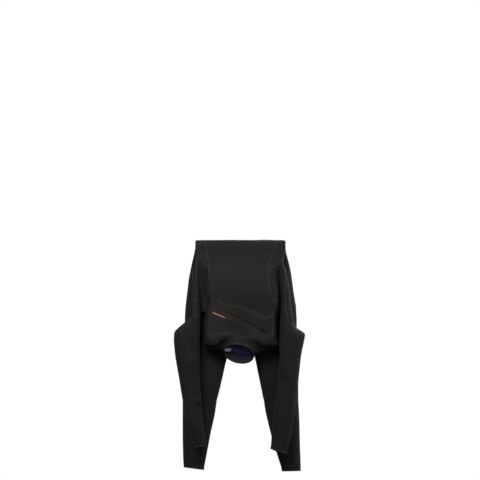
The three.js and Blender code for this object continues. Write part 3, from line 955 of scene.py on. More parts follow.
@dataclass
class Upper:
    """The front flap with its sleeves: it hangs upside down from the bar, neck lowest.

    Sizes are in millimetres.
    """

    sleeve_y: float = -37.0
    gusset_y: float = -17.0
    chest_depth: float = 30.0
    rim_front: tuple[float, float, float] = (0, -74.5, -431)
    rim_back: tuple[float, float, float] = (0, -19.5, -517)
    collar_tilt: float = 0.13
    neck_half: float = 73.0
    collar_half: float = 84.0
    flap_left: float = -165.0
    flap_right: float = 158.0
    flap_facing: float = -0.35
    collar_deep: float = 30.0
    # Past this depth from the collar's rim, the purple lining gives way to dark lining: painted shade for the dark
    # inside of the torso.
    painted_shade_past: float = 62.0
    zip_y: float = -72.3
    split: float = 169.0
    sleeve_top: float = -310.0
    sleeve_middle: float = -540.0
    seam_line: tuple[tuple[float, float], ...] = (
        (-152, -212), (-132, -219), (-94, -236), (-69, -250), (-41, -257), (-6, -262), (32, -276),
        (52, -283), (70, -290), (90, -303), (108, -313), (123, -309), (138, -297), (146, -286),
    )
    folds: tuple[Fold, ...] = (
        Fold(((-142, -60, 10), (-132, -60, -60), (-136, -70, -150)), 26, -1.8),
        Fold(((118, -60, 5), (112, -60, -60), (122, -70, -140)), 24, -1.6),
        Fold(((-60, -50, 14), (-40, -60, -70), (-46, -72, -150)), 34, 1.6),
        Fold(((20, -50, 14), (34, -60, -80), (22, -72, -170)), 30, -1.4),
        Fold(((78, -50, 12), (70, -60, -70), (80, -72, -190)), 26, 1.4),
        Fold(((-150, -60, -225), (-128, -73, -265), (-118, -73, -330)), 20, -1.6),
        Fold(((-140, -70, -395), (-100, -73, -408), (-62, -74, -400)), 16, 1.8),
        Fold(((140, -70, -395), (105, -73, -412), (70, -74, -404)), 16, 1.8),
        Fold(((-98, -55, -474), (-86, -62, -454), (-81, -70, -428)), 8, -9.0),
        Fold(((-92, -72, -392), (-60, -74, -388), (-30, -74, -392)), 12, 1.6),
        Fold(
            ((-193, -57, -250), (-191, -64, -360), (-188, -66, -450), (-184, -66, -560), (-180, -64, -680)), 11, 9.0
        ),
        Fold(((-213, -58, -330), (-212, -66, -390), (-208, -66, -470), (-203, -66, -600)), 10, -3.0),
        Fold(((-236, -64, -372), (-228, -66, -430), (-224, -66, -500)), 20, 2.0),
        Fold(((198, -60, -290), (196, -64, -370), (190, -66, -450), (183, -66, -560)), 13, 5.5),
        Fold(((219, -60, -330), (214, -64, -400), (207, -66, -480)), 10, -3.2),
        Fold(((-40, -73, -330), (10, -73, -345), (60, -73, -380)), 34, 1.2),
        Fold(((-215, -60, -330), (-236, -66, -400), (-222, -66, -480)), 18, -2.2),
        Fold(((-262, -60, -380), (-262, -66, -440), (-246, -66, -520)), 16, 1.8),
        Fold(((-205, -66, -520), (-216, -66, -580), (-200, -66, -650)), 16, -1.8),
        Fold(((-226, -66, -600), (-212, -66, -700), (-196, -60, -800)), 14, 1.6),
        Fold(((262, -60, -400), (246, -66, -460), (236, -66, -540)), 18, 2.0),
        Fold(((212, -66, -400), (206, -66, -470), (214, -66, -540)), 18, -2.2),
        Fold(((196, -66, -560), (208, -66, -640), (190, -66, -720)), 16, -2.0),
        Fold(((230, -62, -620), (214, -62, -720), (196, -60, -830)), 14, 1.6),
        Fold(((-236, -40, -640), (-205, -66, -652), (-172, -50, -646)), 14, -0.8),
        Fold(((250, -40, -655), (210, -66, -642), (165, -50, -650)), 14, -0.8),
    )

    def torso(self) -> Tube:
        """Makes the torso's tube, from just past the bar to the collar's rim."""
        rows = (
            (-30, 1, 197, 7, 9, 0.5), (-62, 0, 193, 10, 14, 0.5), (-84, 0, 184, 13, 20, 0.5),
            (-108, 6, 158, 18, 24, 0.5), (-150, 9, 156, 24, 28, 0.6), (-205, 11, 158, 29, 26, 0.62),
            (-252, 12, 157, 30, 26, 0.62), (-305, 4, 156, 30, 26, 0.62), (-378, 0, 160, 30, 26, 0.62),
        )
        y = -(SEAT + self.chest_depth)
        body = [
            Ring(x, -(SEAT + depth), z, half, depth, ends, edge=edge) for z, x, half, depth, ends, edge in rows
        ]
        collar = [
            Ring(0, y, -408, 163, 30, 36, arch=8, edge=0.6),
            Ring(0, y, -426, 166, 30, 60, fall=2, edge=0.55, arch=22),
            Ring(0, y, -438, 165, 30, 88, rise=4, fall=6, edge=0.55, arch=32),
            Ring(0, y, -450, 128, 30, 84, rise=20, fall=14, edge=0.52, arch=26),
            Ring(-4, y, -463, 82, 30, 62, rise=50, fall=18, edge=0.5, arch=10),
            Ring(-5, y - 4, -474, 65, 28, 62, rise=43, fall=43, edge=0.5),
            Ring(-5, y - 12, -487, 65, 28, 62, rise=43, fall=43, edge=0.5),
        ]
        return Tube(over_bar((150, 120, 90, 60, 30, 0)) + body + collar)

    def left_sleeve(self) -> Tube:
        """Makes the left sleeve's tube: a rolled strip, a pointed cap and the sleeve down to its hem."""
        rows = [
            (-56, -192, -168, 7), (-80, -196, -172, 10), (-108, -203, -180, 12), (-173, -207, -180, 15),
            (-240, -208, -176, 19), (-298, -206, -172, 23), (-322, -227, -172, 25), (-350, -259, -172, 27),
            (-374, -285, -172, 28), (-386, -289, -173, 29), (-420, -290, -174, 30), (-482, -284, -175, 30),
            (-570, -269, -174, 29), (-640, -258, -171, 27), (-737, -240, -163, 24), (-856, -210, -150, 21),
            (-882, -205, -147, 20), (-902, -203, -145, 19),
        ]
        return limb(rows, self.sleeve_y, 0)

    def right_sleeve(self) -> Tube:
        """Makes the right sleeve's tube, which hangs a little lower and further in."""
        rows = [
            (-60, 174, 188, 7), (-84, 172, 194, 11), (-112, 176, 203, 14), (-173, 180, 214, 18),
            (-240, 180, 222, 21), (-300, 178, 232, 24), (-352, 174, 243, 27), (-372, 173, 268, 28),
            (-388, 173, 286, 29), (-420, 173, 280, 30), (-482, 173, 267, 30), (-570, 170, 258, 29),
            (-640, 160, 251, 27), (-748, 145, 239, 24), (-879, 134, 213, 21), (-905, 131, 206, 20),
            (-930, 128, 200, 19),
        ]
        return limb(rows, self.sleeve_y, 0)

    def gussets(self) -> list[Tube]:
        """Makes the strips set back between the flap and each sleeve, where the armholes haven't opened yet."""
        left = [
            (-92, -190, -140, 22), (-112, -190, -138, 19), (-150, -188, -138, 13), (-210, -186, -138, 9),
            (-270, -184, -140, 7), (-298, -182, -142, 4),
        ]
        right = [
            (-94, 150, 186, 20), (-114, 151, 188, 16), (-150, 152, 190, 10), (-200, 152, 192, 7), (-238, 154, 190, 4),
        ]
        return [limb(rows, self.gusset_y, 0) for rows in (left, right)]

    def skin(self) -> bpy.types.Object:
        """Fuses the flap and its sleeves into one creased skin."""
        volumes = [(self.torso(), 220), (self.left_sleeve(), 240), (self.right_sleeve(), 240)]
        piece = fused("upper_skin", volumes + [(gusset, 60) for gusset in self.gussets()])
        soften(piece.data, 6, 1.3, 3.1)
        crease(piece.data, self.folds)
        self.tilt_collar(piece.data)
        self.press_zip(piece.data)
        return piece

    def tilt_collar(self, mesh: bpy.types.Mesh) -> None:
        """Drops the collar's right side a little, as it hangs.

        Args:
            mesh: The skin's mesh, before it is cut.
        """
        points = points_of(mesh)
        near = np.linalg.norm((points / MM - np.array((0, -47, -474))) * np.array((0.75, 0.4, 1.0)), axis=1)
        weight = np.clip((98 - near) / 50, 0, 1)
        weight = weight * weight * (3 - 2 * weight)
        weight[abs(points[:, 0]) > self.split * MM] = 0
        points[:, 2] -= points[:, 0] * self.collar_tilt * weight
        mesh.vertices.foreach_set("co", points.ravel())
        mesh.update()

    def press_zip(self, mesh: bpy.types.Mesh) -> None:
        """Presses the skin flat behind the zip, so that its tapes and slider stand on it.

        Args:
            mesh: The skin's mesh.
        """
        points = points_of(mesh)
        path = np.array(((-68, 0, -279), (112, 0, -370))) * MM
        flat = points * np.array((1, 0, 1))
        near = distance_to_path(flat, path) / (20 * MM)
        weight = np.exp(-(near**4)) * (points[:, 1] < -55 * MM) * (abs(points[:, 0]) < 150 * MM)
        points[:, 1] += (self.zip_y * MM - points[:, 1]) * weight
        mesh.vertices.foreach_set("co", points.ravel())
        mesh.update()

    def seams(self) -> list[Line]:
        """Lists the blind-stitched seams."""
        front = [
            self.seam_line,
            ((-156, 22), (-148, -24), (-138, -73), (-135, -150), (-138, -205)),
            ((161, 18), (147, -24), (130, -68), (123, -121), (127, -178), (138, -220), (150, -251)),
            ((132, -82), (156, -99), (180, -108), (194, -108)),
            ((-132, -273), (-116, -277), (-99, -281)),
            ((-77, -466), (-68, -438), (-46, -412), (-15, -399), (16, -399), (38, -407), (56, -430), (73, -466)),
            ((194, -49), (196, -108), (198, -190), (198, -267), (209, -319), (218, -335), (231, -354),
             (249, -390), (270, -453)),
            ((-253, -385), (-235, -430), (-218, -469), (-191, -491), (-178, -496)),
            ((-190, -60), (-191, -130), (-192, -220), (-194, -300), (-200, -318)),
        ]
        rear = [
            ((-110, -60), (-112, -160), (-108, -260), (-104, -370)),
            ((110, -60), (116, -160), (112, -260), (104, -370)),
            ((-156, -376), (-80, -384), (0, -387), (80, -384), (156, -376)),
            ((-76, -470), (-50, -490), (0, -497), (50, -490), (74, -470)),
            ((-232, -330), (-226, -420), (-220, -540), (-206, -690), (-178, -868)),
            ((232, -380), (226, -460), (216, -560), (200, -700), (172, -890)),
        ]
        return [Line(points) for points in front] + [Line(points, Side.REAR) for points in rear]


@dataclass
class Lower:
    """The rear flap: the pelvis, and both legs with their feet lowest.

    Sizes are in millimetres.
    """

    crotch: float = -320.0
    leg_middle: float = -500.0
    leg_y: float = 49.0
    folds: tuple[Fold, ...] = (
        Fold(((-225, 20, -150), (-190, 16, -210), (-150, 14, -260)), 24, 1.6),
        Fold(((-226, 20, -470), (-196, 14, -520), (-150, 14, -560)), 22, -2.0),
        Fold(((-110, 14, -560), (-140, 14, -620), (-190, 14, -660)), 20, 1.8),
        Fold(((-240, 40, -676), (-180, 14, -690), (-110, 40, -684)), 12, -2.2),
        Fold(((-230, 20, -760), (-190, 16, -800), (-150, 20, -860)), 18, 1.6),
        Fold(((236, 20, -460), (196, 14, -520), (140, 14, -560)), 22, -2.0),
        Fold(((120, 14, -600), (160, 14, -640), (210, 14, -668)), 20, 1.8),
        Fold(((250, 40, -690), (185, 14, -682), (115, 40, -694)), 12, -2.2),
        Fold(((245, 20, -780), (215, 16, -840), (195, 20, -900)), 18, 1.6),
        Fold(((-60, 84, -60), (-70, 84, -150), (-120, 86, -280)), 30, 1.6),
        Fold(((70, 84, -60), (80, 84, -160), (130, 86, -280)), 30, -1.6),
        Fold(((-200, 80, -330), (-160, 85, -420), (-170, 85, -540)), 26, -1.8),
        Fold(((200, 80, -330), (160, 85, -430), (175, 85, -540)), 26, 1.8),
        Fold(((-240, 60, -676), (-175, 84, -686), (-105, 60, -680)), 12, -2.0),
        Fold(((250, 60, -680), (185, 84, -690), (110, 60, -684)), 12, -2.0),
    )

    def pelvis(self) -> Tube:
        """Makes the pelvis's tube, from just before the bar down to the crotch."""
        rows = (
            (-30, 1, 204, 7, 9), (-107, 2, 222, 20, 28), (-194, 2, 235, 30, 44),
            (-270, 3, 246, 35, 56), (-300, 3, 247, 35, 60), (-316, 3, 237, 30, 60),
        )
        body = [Ring(x, SEAT + depth, z, half, depth, ends, HALF_TURN) for z, x, half, depth, ends in rows]
        return Tube(over_bar((30, 60, 90, 120, 150, 180)) + body)

    def left_leg(self) -> Tube:
        """Makes the left leg's tube."""
        rows = [
            (-262, -243, 1, 33), (-304, -246, 0, 35), (-352, -247, -14, 36), (-400, -248, -27, 36),
            (-497, -251, -56, 36), (-600, -254, -80, 35), (-690, -255, -101, 33), (-753, -255, -111, 33), (-836, -255, -130, 31),
            (-942, -253, -150, 28), (-984, -251, -158, 26), (-1018, -250, -162, 25),
        ]
        return limb(rows, self.leg_y, HALF_TURN)

    def right_leg(self) -> Tube:
        """Makes the right leg's tube."""
        rows = [
            (-262, 250, 11, 33), (-304, 252, 12, 35), (-352, 253, 26, 36), (-400, 254, 38, 36), (-497, 256, 64, 36),
            (-600, 259, 86, 35), (-690, 261, 104, 33), (-753, 264, 116, 33), (-836, 266, 137, 31),
            (-942, 269, 169, 28), (-984, 270, 182, 26), (-1020, 270, 188, 25),
        ]
        return limb(rows, self.leg_y, HALF_TURN)

    def skin(self) -> bpy.types.Object:
        """Fuses the pelvis and legs into one creased skin."""
        piece = fused("lower_skin", [(self.pelvis(), 150), (self.left_leg(), 240), (self.right_leg(), 240)])
        soften(piece.data, 7, 1.5, 8.7)
        crease(piece.data, self.folds)
        return piece

    def seams(self) -> list[Line]:
        """Lists the blind-stitched seams."""
        facing = [
            ((-212, -100), (-206, -180), (-196, -260), (-190, -330), (-196, -420), (-205, -520), (-214, -640),
             (-214, -760), (-216, -860), (-222, -960)),
            ((216, -100), (214, -180), (206, -260), (200, -330), (206, -420), (214, -520), (222, -640),
             (226, -760), (232, -860), (240, -960)),
        ]
        behind = [
            ((0, 12), (2, -60), (3, -160), (5, -250), (6, -296)),
            ((-196, -60), (-160, -140), (-120, -230), (-100, -310), (-120, -420), (-150, -540), (-166, -650)),
            ((200, -60), (166, -140), (126, -230), (108, -310), (128, -420), (160, -540), (176, -650)),
            ((-246, -666), (-176, -676), (-100, -668)),
            ((256, -670), (185, -680), (104, -672)),
            ((-246, -830), (-190, -842), (-134, -834)),
            ((262, -834), (200, -846), (142, -838)),
        ]
        return [Line(points) for points in facing] + [Line(points, Side.REAR) for points in behind]


@dataclass
class Garment:
    """Cuts both skins into panels, gives them walls, and sews the trims on."""

    upper: Upper = field(default_factory=Upper)
    lower: Lower = field(default_factory=Lower)
    made: dict[str, bpy.types.Object] = field(default_factory=dict)
    upper_tree: BVHTree | None = None
    lower_tree: BVHTree | None = None

    def stitch(self, name: str, lines: Sequence[Line], tree: BVHTree) -> bpy.types.Object:
        """Sews every line of a skin as one mesh, before it is cut with the panels.

        Args:
            name: The mesh's name.
            lines: The lines.
            tree: The skin's tree.

        Returns:
            The object that holds all the seams.
        """
        bm = bmesh.new()
        for line in lines:
            bead(bm, line.laid(tree), line.width, line.height)
        return link(name, mesh_from(bm, name))

    def panel(
        self,
        name: str,
        skin: bpy.types.Mesh,
        seams: bpy.types.Mesh,
        region: Region,
        bend: Bend,
        nodes: Sequence[str],
        paint: Callable[[Vector, Vector], int] | None = None,
        hem: Callable[[Vector], bool] | None = None,
        lining: Finish = DARK_LINING_AND_PAINTED_SHADE,
    ) -> bpy.types.Object:
        """Makes one panel: its skin with a wall, its seams and its hem.

        Args:
            name: The panel's name.
            skin: The whole skin.
            seams: The whole skin's seams.
            region: What the panel is cut from.
            bend: Where it bends.
            nodes: The frame's nodes that it stands for.
            paint: Picks a face's slot from its middle and normal: 0 smooth skin over the given lining,
            1 smooth skin over a dark lining, 2 jersey over a dark lining; inside the torso, past the purple
            band, that dark lining is painted shade. Without it, all is jersey.
            hem: Says whether a point, in millimetres, is on the edge that is hemmed.
            lining: The finish of the inner faces.

        Returns:
            The panel's object.
        """
        piece = link(name, mesh_from(region.cut(skin), name))
        if hem is not None:
            self.hem(f"{name}_hem", piece.data, hem, bend)
        # Inner faces: the given lining on slot 0 and dark lining on the rest; inside the torso, past the purple band,
        # that dark lining is painted shade.
        dress(piece, JERSEY if paint is None else SKIN, SKIN, JERSEY, lining, DARK_LINING_AND_PAINTED_SHADE, DARK_LINING_AND_PAINTED_SHADE)
        if paint is not None:
            for face in piece.data.polygons:
                face.material_index = paint(face.center / MM, face.normal)
        thicken(piece, NEOPRENE_WALL, 3)
        sewn = region.cut(seams)
        if len(sewn.faces):
            stitched = link(f"{name}_seams", mesh_from(sewn, f"{name}_seams"))
            dress(stitched, SEAM)
            bend.apply(stitched)
        else:
            sewn.free()
        bend.apply(piece)
        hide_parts(*nodes)
        self.made[name] = piece
        area = sum(f.area for f in piece.data.polygons)
        log.info("%s: %d faces, %.3f square metres of both sides", name, len(piece.data.polygons), area)
        return piece

    def hem(self, name: str, mesh: bpy.types.Mesh, near: Callable[[Vector], bool], bend: Bend) -> bpy.types.Object:
        """Binds an open edge with a narrow rolled hem.

        Args:
            name: The hem's name.
            mesh: The panel before it has a wall.
            near: Says whether a point, in millimetres, is on the edge.
            bend: Where the panel bends.

        Returns:
            The hem's object.
        """
        walk = border(mesh, near)
        even = spread(walk, 3.0 * MM)
        middle = sum(even[:-1], Vector()) / (len(even) - 1)
        laid = [(p, (p - middle).normalized()) for p in even]
        for _ in range(4):
            ring = laid[:-1]
            n = len(ring)
            ring = [eased(ring[i - 1], ring[i], ring[(i + 1) % n]) for i in range(n)]
            laid = ring + [ring[0]]
        bm = bmesh.new()
        bead(bm, laid, 4.2, 1.3, closed=True)
        piece = link(name, mesh_from(bm, name))
        dress(piece, SEAM)
        bend.apply(piece)
        return piece

    def seam_height(self, x: float) -> float:
        """Gives the height of the entry flap's seam at a place across the chest, in millimetres."""
        line = self.upper.seam_line
        return float(np.interp(x, [p[0] for p in line], [p[1] for p in line]))

    def build_upper(self) -> None:
        """Makes the torso and both sleeves."""
        u = self.upper
        skin = u.skin()
        self.upper_tree = tree_of(skin.data)
        seams = self.stitch("upper_seams", u.seams(), self.upper_tree)
        along = Vector(u.rim_back) - Vector(u.rim_front)
        rim_away = Vector((-along.y * u.collar_tilt, along.z, -along.y)).normalized()
        rim = Plane(u.rim_front, tuple(rim_away))
        split, top, middle = u.split, u.sleeve_top, u.sleeve_middle

        def beyond(point: Vector) -> float:
            """Measures how far a point is from the collar's rim, in millimetres."""
            return (Vector(u.rim_front) - point).dot(rim_away)

        def chest(point: Vector, normal: Vector) -> int:
            """Picks smooth skin for the entry flap and the collar, and jersey for the rest."""
            if abs(point.x) < u.collar_half and beyond(point) < u.collar_deep:
                return 1
            # Past the purple band the inner faces get dark lining: painted shade for the deep inside of the torso.
            if beyond(point) <= u.painted_shade_past:
                return 0
            faces_out = normal.y < u.flap_facing and u.flap_left < point.x < u.flap_right
            return 1 if faces_out and point.z < self.seam_height(point.x) else 2

        def left_out(point: Vector) -> bool:
            """Says whether a face belongs to a sleeve, or to the blank that closes the neck."""
            sleeve = (abs(point.x) > split and point.z < top) or point.z < middle
            return sleeve or (abs(point.x) < u.neck_half and beyond(point) < 0)

        torso = Region(
            planes=(Plane((0, 0, 0), (0, 1, 0)),),
            scores=(
                Plane((split, 0, 0), (1, 0, 0)), Plane((-split, 0, 0), (-1, 0, 0)),
                Plane((0, 0, top), (0, 0, 1)), rim,
            ),
            drop=left_out,
        )
        self.panel(
            "torso_panels", skin.data, seams.data, torso,
            Bend("waist", "torso", 0, -27.2, -12, -48),
            ["waist_front_panel", "waist_side_left", "waist_side_right", "belly_panel", "chest_flap", "back_panel",
             "torso_side_left", "torso_side_right", "shoulder_panel_left", "shoulder_panel_right", "collar",
             "neck_lining", "underarm_gusset_left", "underarm_gusset_right"],
            chest, lambda p: abs(beyond(p)) < 1.0 and abs(p.x) < u.neck_half, PURPLE,
        )
        wrists = {
            "left": Plane((-206, -37, -884), (0.10, -0.25, -0.96)),
            "right": Plane((131, -37, -885), (-0.35, -0.24, -0.91)),
        }
        for side, sign, joint in (("left", -1, -281.5), ("right", 1, 282.5)):
            upper = Region((
                Plane((0, 0, top), (0, 0, 1)),
                Plane((sign * split, 0, 0), (-sign, 0, 0)),
                Plane((0, 0, middle), (0, 0, -1)),
            ))
            self.panel(
                f"upper_sleeve_{side}", skin.data, seams.data, upper,
                Bend("torso", f"sleeve_{side}", joint, u.sleeve_y, -345, -495),
                [f"{part}_{face}_{side}" for part in ("shoulder_cap", "upper_sleeve") for face in ("front", "back")],
            )
            wrist = wrists[side]
            forearm = Region((Plane((0, 0, middle), (0, 0, 1)), Plane((0, 0, 0), (-sign, 0, 0)), wrist))
            self.panel(
                f"forearm_{side}", skin.data, seams.data, forearm,
                Bend(f"sleeve_{side}", f"forearm_{side}", 0, -65.2, -585, -695),
                [f"forearm_front_{side}", f"forearm_back_{side}", f"wrist_cuff_{side}"],
                None,
                lambda p, w=wrist: abs((p - Vector(w.at)).dot(Vector(w.away).normalized())) < 1.0,
            )
        for spare in (skin, seams):
            bpy.data.objects.remove(spare)

    def build_lower(self) -> None:
        """Makes the pelvis and both legs."""
        w = self.lower
        skin = w.skin()
        self.lower_tree = tree_of(skin.data)
        seams = self.stitch("lower_seams", w.seams(), self.lower_tree)
        self.panel(
            "pelvis_panels", skin.data, seams.data,
            Region((Plane((0, 0, 0), (0, -1, 0)), Plane((0, 0, w.crotch), (0, 0, -1)))),
            Bend("waist", "pelvis", 0, 27.2, -12, -48),
            ["waist_back_panel", "front_hip_panel", "seat_panel", "hip_side_left", "hip_side_right"],
        )
        ankles = {
            "left": Plane((-244, 49, -983), (-0.131, -0.14, -0.98)),
            "right": Plane((184, 49, -1000), (0.024, -0.12, -0.99)),
        }
        for side, sign in (("left", -1), ("right", 1)):
            half = Plane((6, 0, 0), (-sign, 0, 0))
            self.panel(
                f"thigh_{side}", skin.data, seams.data,
                Region((Plane((0, 0, w.crotch), (0, 0, 1)), half, Plane((0, 0, w.leg_middle), (0, 0, -1)))),
                Bend("pelvis", f"thigh_{side}", 0, 85.2, -320, -400),
                [f"thigh_front_{side}", f"thigh_back_{side}"],
            )
            ankle = ankles[side]
            self.panel(
                f"lower_leg_{side}", skin.data, seams.data,
                Region((Plane((0, 0, w.leg_middle), (0, 0, 1)), half, ankle)),
                Bend(f"thigh_{side}", f"shin_{side}", 0, 82.2, -630, -750),
                [f"shin_front_{side}", f"calf_back_{side}", f"ankle_cuff_{side}"],
                None,
                lambda p, a=ankle: abs((p - Vector(a.at)).dot(Vector(a.away).normalized())) < 1.0,
            )
            self.knee_pad(side, skin.data)
        for spare in (skin, seams):
            bpy.data.objects.remove(spare)

    def knee_pad(self, side: str, skin: bpy.types.Mesh) -> None:
        """Makes a printed knee pad with raised bars, on the shin's front.

        Args:
            side: Left or right.
            skin: The lower skin.
        """
        centre = (-177, -752) if side == "left" else (184, -752)
        half_width, half_height, corner = 52, 56, 26
        x, z = centre
        away = []
        for sx, sz, reach in ((1, 0, half_width), (-1, 0, half_width), (0, 1, half_height), (0, -1, half_height)):
            away.append(Plane((x + sx * reach, 0, z + sz * reach), (sx, 0, sz)))
        diagonal = half_width + half_height - corner
        for sx in (1, -1):
            for sz in (1, -1):
                away.append(Plane((x + sx * diagonal / 2, 0, z + sz * diagonal / 2), (sx, 0, sz)))
        region = Region(tuple(away) + (Plane((0, 56, 0), (0, -1, 0)),))
        bm = region.cut(skin)
        bm.normal_update()
        for vert in bm.verts:
            vert.co += vert.normal * (0.9 * MM)
        piece = link(f"knee_pad_print_{side}", mesh_from(bm, f"knee_pad_print_{side}"))
        dress(piece, KNEE)
        thicken(piece, 1.6 * MM, 0)
        bars = bmesh.new()
        for k in range(-2, 3):
            rise = z + k * 19
            reach = half_width - 10 - (8 if abs(k) == 2 else 0)
            line = Line(((x - reach, rise - 3), (x, rise + 5), (x + reach, rise - 3)), Side.REAR, 7.0, 1.6)
            bead(bars, [(p + n * 0.9 * MM, n) for p, n in line.laid(self.lower_tree)], line.width, line.height)
        ribs = link(f"knee_pad_bars_{side}", mesh_from(bars, f"knee_pad_bars_{side}"))
        dress(ribs, KNEE)
        bend = Bend(f"thigh_{side}", f"shin_{side}", 0, 82.2, -630, -750)
        bend.apply(piece)
        bend.apply(ribs)
        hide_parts(f"knee_pad_{side}")
        log.info("%s: %d faces", piece.name, len(piece.data.polygons))


# --- The zip and the chest's trims ---------------------------------------------------------------------


def add_block(
    bm: bmesh.types.BMesh, size: tuple[float, float, float], bevel: float, segments: int, place: Matrix
) -> None:
    """Adds a bevelled block to a bmesh.

    Args:
        bm: The bmesh that takes it.
        size: Its sides, in millimetres.
        bevel: The bevel's width, in millimetres.
        segments: Steps of the bevel.
        place: Where it stands and how it is turned.
    """
    made = bmesh.ops.create_cube(bm, size=1)["verts"]
    bmesh.ops.scale(bm, vec=Vector(size) * MM, verts=made)
    grown = bmesh.ops.bevel(
        bm,
        geom=list({e for v in made for e in v.link_edges}),
        offset=bevel * MM,
        segments=segments,
        profile=0.5,
        affect="EDGES",
        material=-1,
        offset_type="OFFSET",
    )
    bmesh.ops.transform(bm, matrix=place, verts=list({v for f in grown["faces"] for v in f.verts}))


@dataclass
class ChestTrims:
    """The zip across the chest, its pull, the printed mark and the label in the neck.

    Sizes are in millimetres.
    """

    start: tuple[float, float] = (-60, -283)
    angle: float = -26.9
    length: float = 180.0
    tape_width: float = 11.0
    tooth_pitch: float = 3.2
    coil_y: float = -73.2
    mark: tuple[float, float] = (-92, -303)
    mark_slope: float = 0.42
    mark_long: float = 54.0
    mark_wide: float = 5.0
    label: tuple[float, float] = (-53, -456)
    label_turn: float = 0.1
    camera: tuple[float, float, float] = (0, -5867, 24)

    def along(self, distance: float, aside: float = 0.0) -> tuple[float, float]:
        """Gives X and Z at a distance along the zip and to one side of it."""
        a = math.radians(self.angle)
        return (
            self.start[0] + distance * math.cos(a) - aside * math.sin(a),
            self.start[1] + distance * math.sin(a) + aside * math.cos(a),
        )

    def tape(self, skin: BVHTree) -> None:
        """Makes the two woven tapes with a stitched edge each."""
        bm = bmesh.new()
        for side in (-1, 1):
            inner, outer = 2.0, self.tape_width / 2
            aside = side * (inner + outer) / 2
            points = (self.along(-5, aside), self.along(self.length + 5, aside))
            bead(bm, Line(points).laid(skin), outer - inner, 0.55)
        tape = link("zip_tapes", mesh_from(bm, "zip_tapes"))
        dress(tape, TAPE)
        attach(tape, "torso")
        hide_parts("zip_tape")
        edges = bmesh.new()
        for side in (-1, 1):
            aside = side * (self.tape_width / 2 + 0.6)
            points = (self.along(-7, aside), self.along(self.length + 7, aside))
            bead(edges, Line(points).laid(skin), 1.2, 0.4)
        stitched = link("zip_stitching", mesh_from(edges, "zip_stitching"))
        dress(stitched, TAPE)
        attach(stitched, "torso")

    def teeth(self) -> None:
        """Makes the moulded teeth, two rows that interlock."""
        bm = bmesh.new()
        a = math.radians(self.angle)
        turn = Matrix.Rotation(-a, 4, "Y")
        count = int((self.length - 8) / self.tooth_pitch)
        for i in range(count):
            for side in (-1, 1):
                x, z = self.along(4 + (i + (0.5 if side > 0 else 0)) * self.tooth_pitch, side * 0.8)
                place = Matrix.Translation(millimetres(x, self.coil_y, z)) @ turn
                add_block(bm, (1.5, 1.5, 3.0), 0.35, 1, place)
        piece = link("zip_coil", mesh_from(bm, "zip_coil"))
        dress(piece, COIL)
        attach(piece, "torso")
        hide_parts("zip_teeth")
        for name in ("zip_top_stop", "zip_bottom_stop", "zip_pull", "zip_slider"):
            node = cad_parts[name]
            node.data.materials.clear()
            node.data.materials.append((LACQUER if name == "zip_slider" else NYLON).build())

    def grip(self) -> None:
        """Moulds three ribs on the pull tab, which ride with it."""
        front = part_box("zip_pull")[0][1]
        bm = bmesh.new()
        turn = Matrix.Rotation(-math.radians(self.angle), 4, "Y")
        for k in range(3):
            x, z = self.along(178 + k * 4.2)
            place = Matrix.Translation(Vector((x * MM, front + 0.1 * MM, z * MM)))
            add_block(bm, (1.4, 1.0, 6.2), 0.4, 2, place @ turn)
        piece = link("pull_ribs", mesh_from(bm, "pull_ribs"))
        dress(piece, NYLON)
        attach(piece, "pull")

    def print_mark(self, skin: BVHTree) -> None:
        """Prints one plain bar in copper ink."""
        x, z = self.mark
        reach, rise = self.mark_long / 2, self.mark_long / 2 * self.mark_slope
        bm = bmesh.new()
        bead(bm, Line(((x - reach, z + rise), (x + reach, z - rise))).laid(skin), self.mark_wide, 0.35)
        piece = link("printed_mark", mesh_from(bm, "printed_mark"))
        dress(piece, PRINT)
        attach(piece, "torso")
        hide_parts("chest_mark")

    def sew_label(self, torso: bpy.types.Object) -> None:
        """Sews the blank label flat on the lining behind the neck."""
        tree = tree_of(torso.data)
        eye = millimetres(*self.camera)
        aim = millimetres(self.label[0], -40, self.label[1])
        middle, normal, _, _ = tree.ray_cast(eye, (aim - eye).normalized())
        right = Vector((math.cos(self.label_turn), 0, math.sin(self.label_turn)))
        right = (right - normal * right.dot(normal)).normalized()
        up = normal.cross(right)
        label = bmesh.new()
        bmesh.ops.create_grid(label, x_segments=12, y_segments=6, size=0.5)
        for vert in label.verts:
            flat = middle + right * (vert.co.x * 27 * MM) + up * (vert.co.y * 13 * MM)
            place = tree.find_nearest(flat)[0]
            vert.co = flat + normal * (max((place - flat).dot(normal), 0) + 0.9 * MM)
        bmesh.ops.recalc_face_normals(label, faces=label.faces)
        piece = link("neck_label", mesh_from(label, "neck_label"))
        dress(piece, LABEL)
        thicken(piece, 0.5 * MM, 0)
        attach(piece, "torso")
        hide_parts("care_label")

    def entry_seam(self, skin: BVHTree) -> None:
        """Sews the entry flap's edge: a raised welt beside the seam, hooked at its end."""
        inner = tuple((x + 1, z - 8) for x, z in Upper().seam_line[2:-1])
        bm = bmesh.new()
        bead(bm, Line(inner).laid(skin), 3.0, 0.6)
        piece = link("entry_flap_topstitch", mesh_from(bm, "entry_flap_topstitch"))
        dress(piece, SEAM)
        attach(piece, "torso")
        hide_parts("flap_seam_tape")

    def build(self, garment: Garment) -> None:
        """Makes every trim on the finished garment."""
        self.tape(garment.upper_tree)
        self.teeth()
        self.grip()
        self.print_mark(garment.upper_tree)
        self.entry_seam(garment.upper_tree)
        self.sew_label(garment.made["torso_panels"])
        log.info("zip, mark, label and entry seam: made")


# --- Studio -----------------------------------------------------------------------------------------------


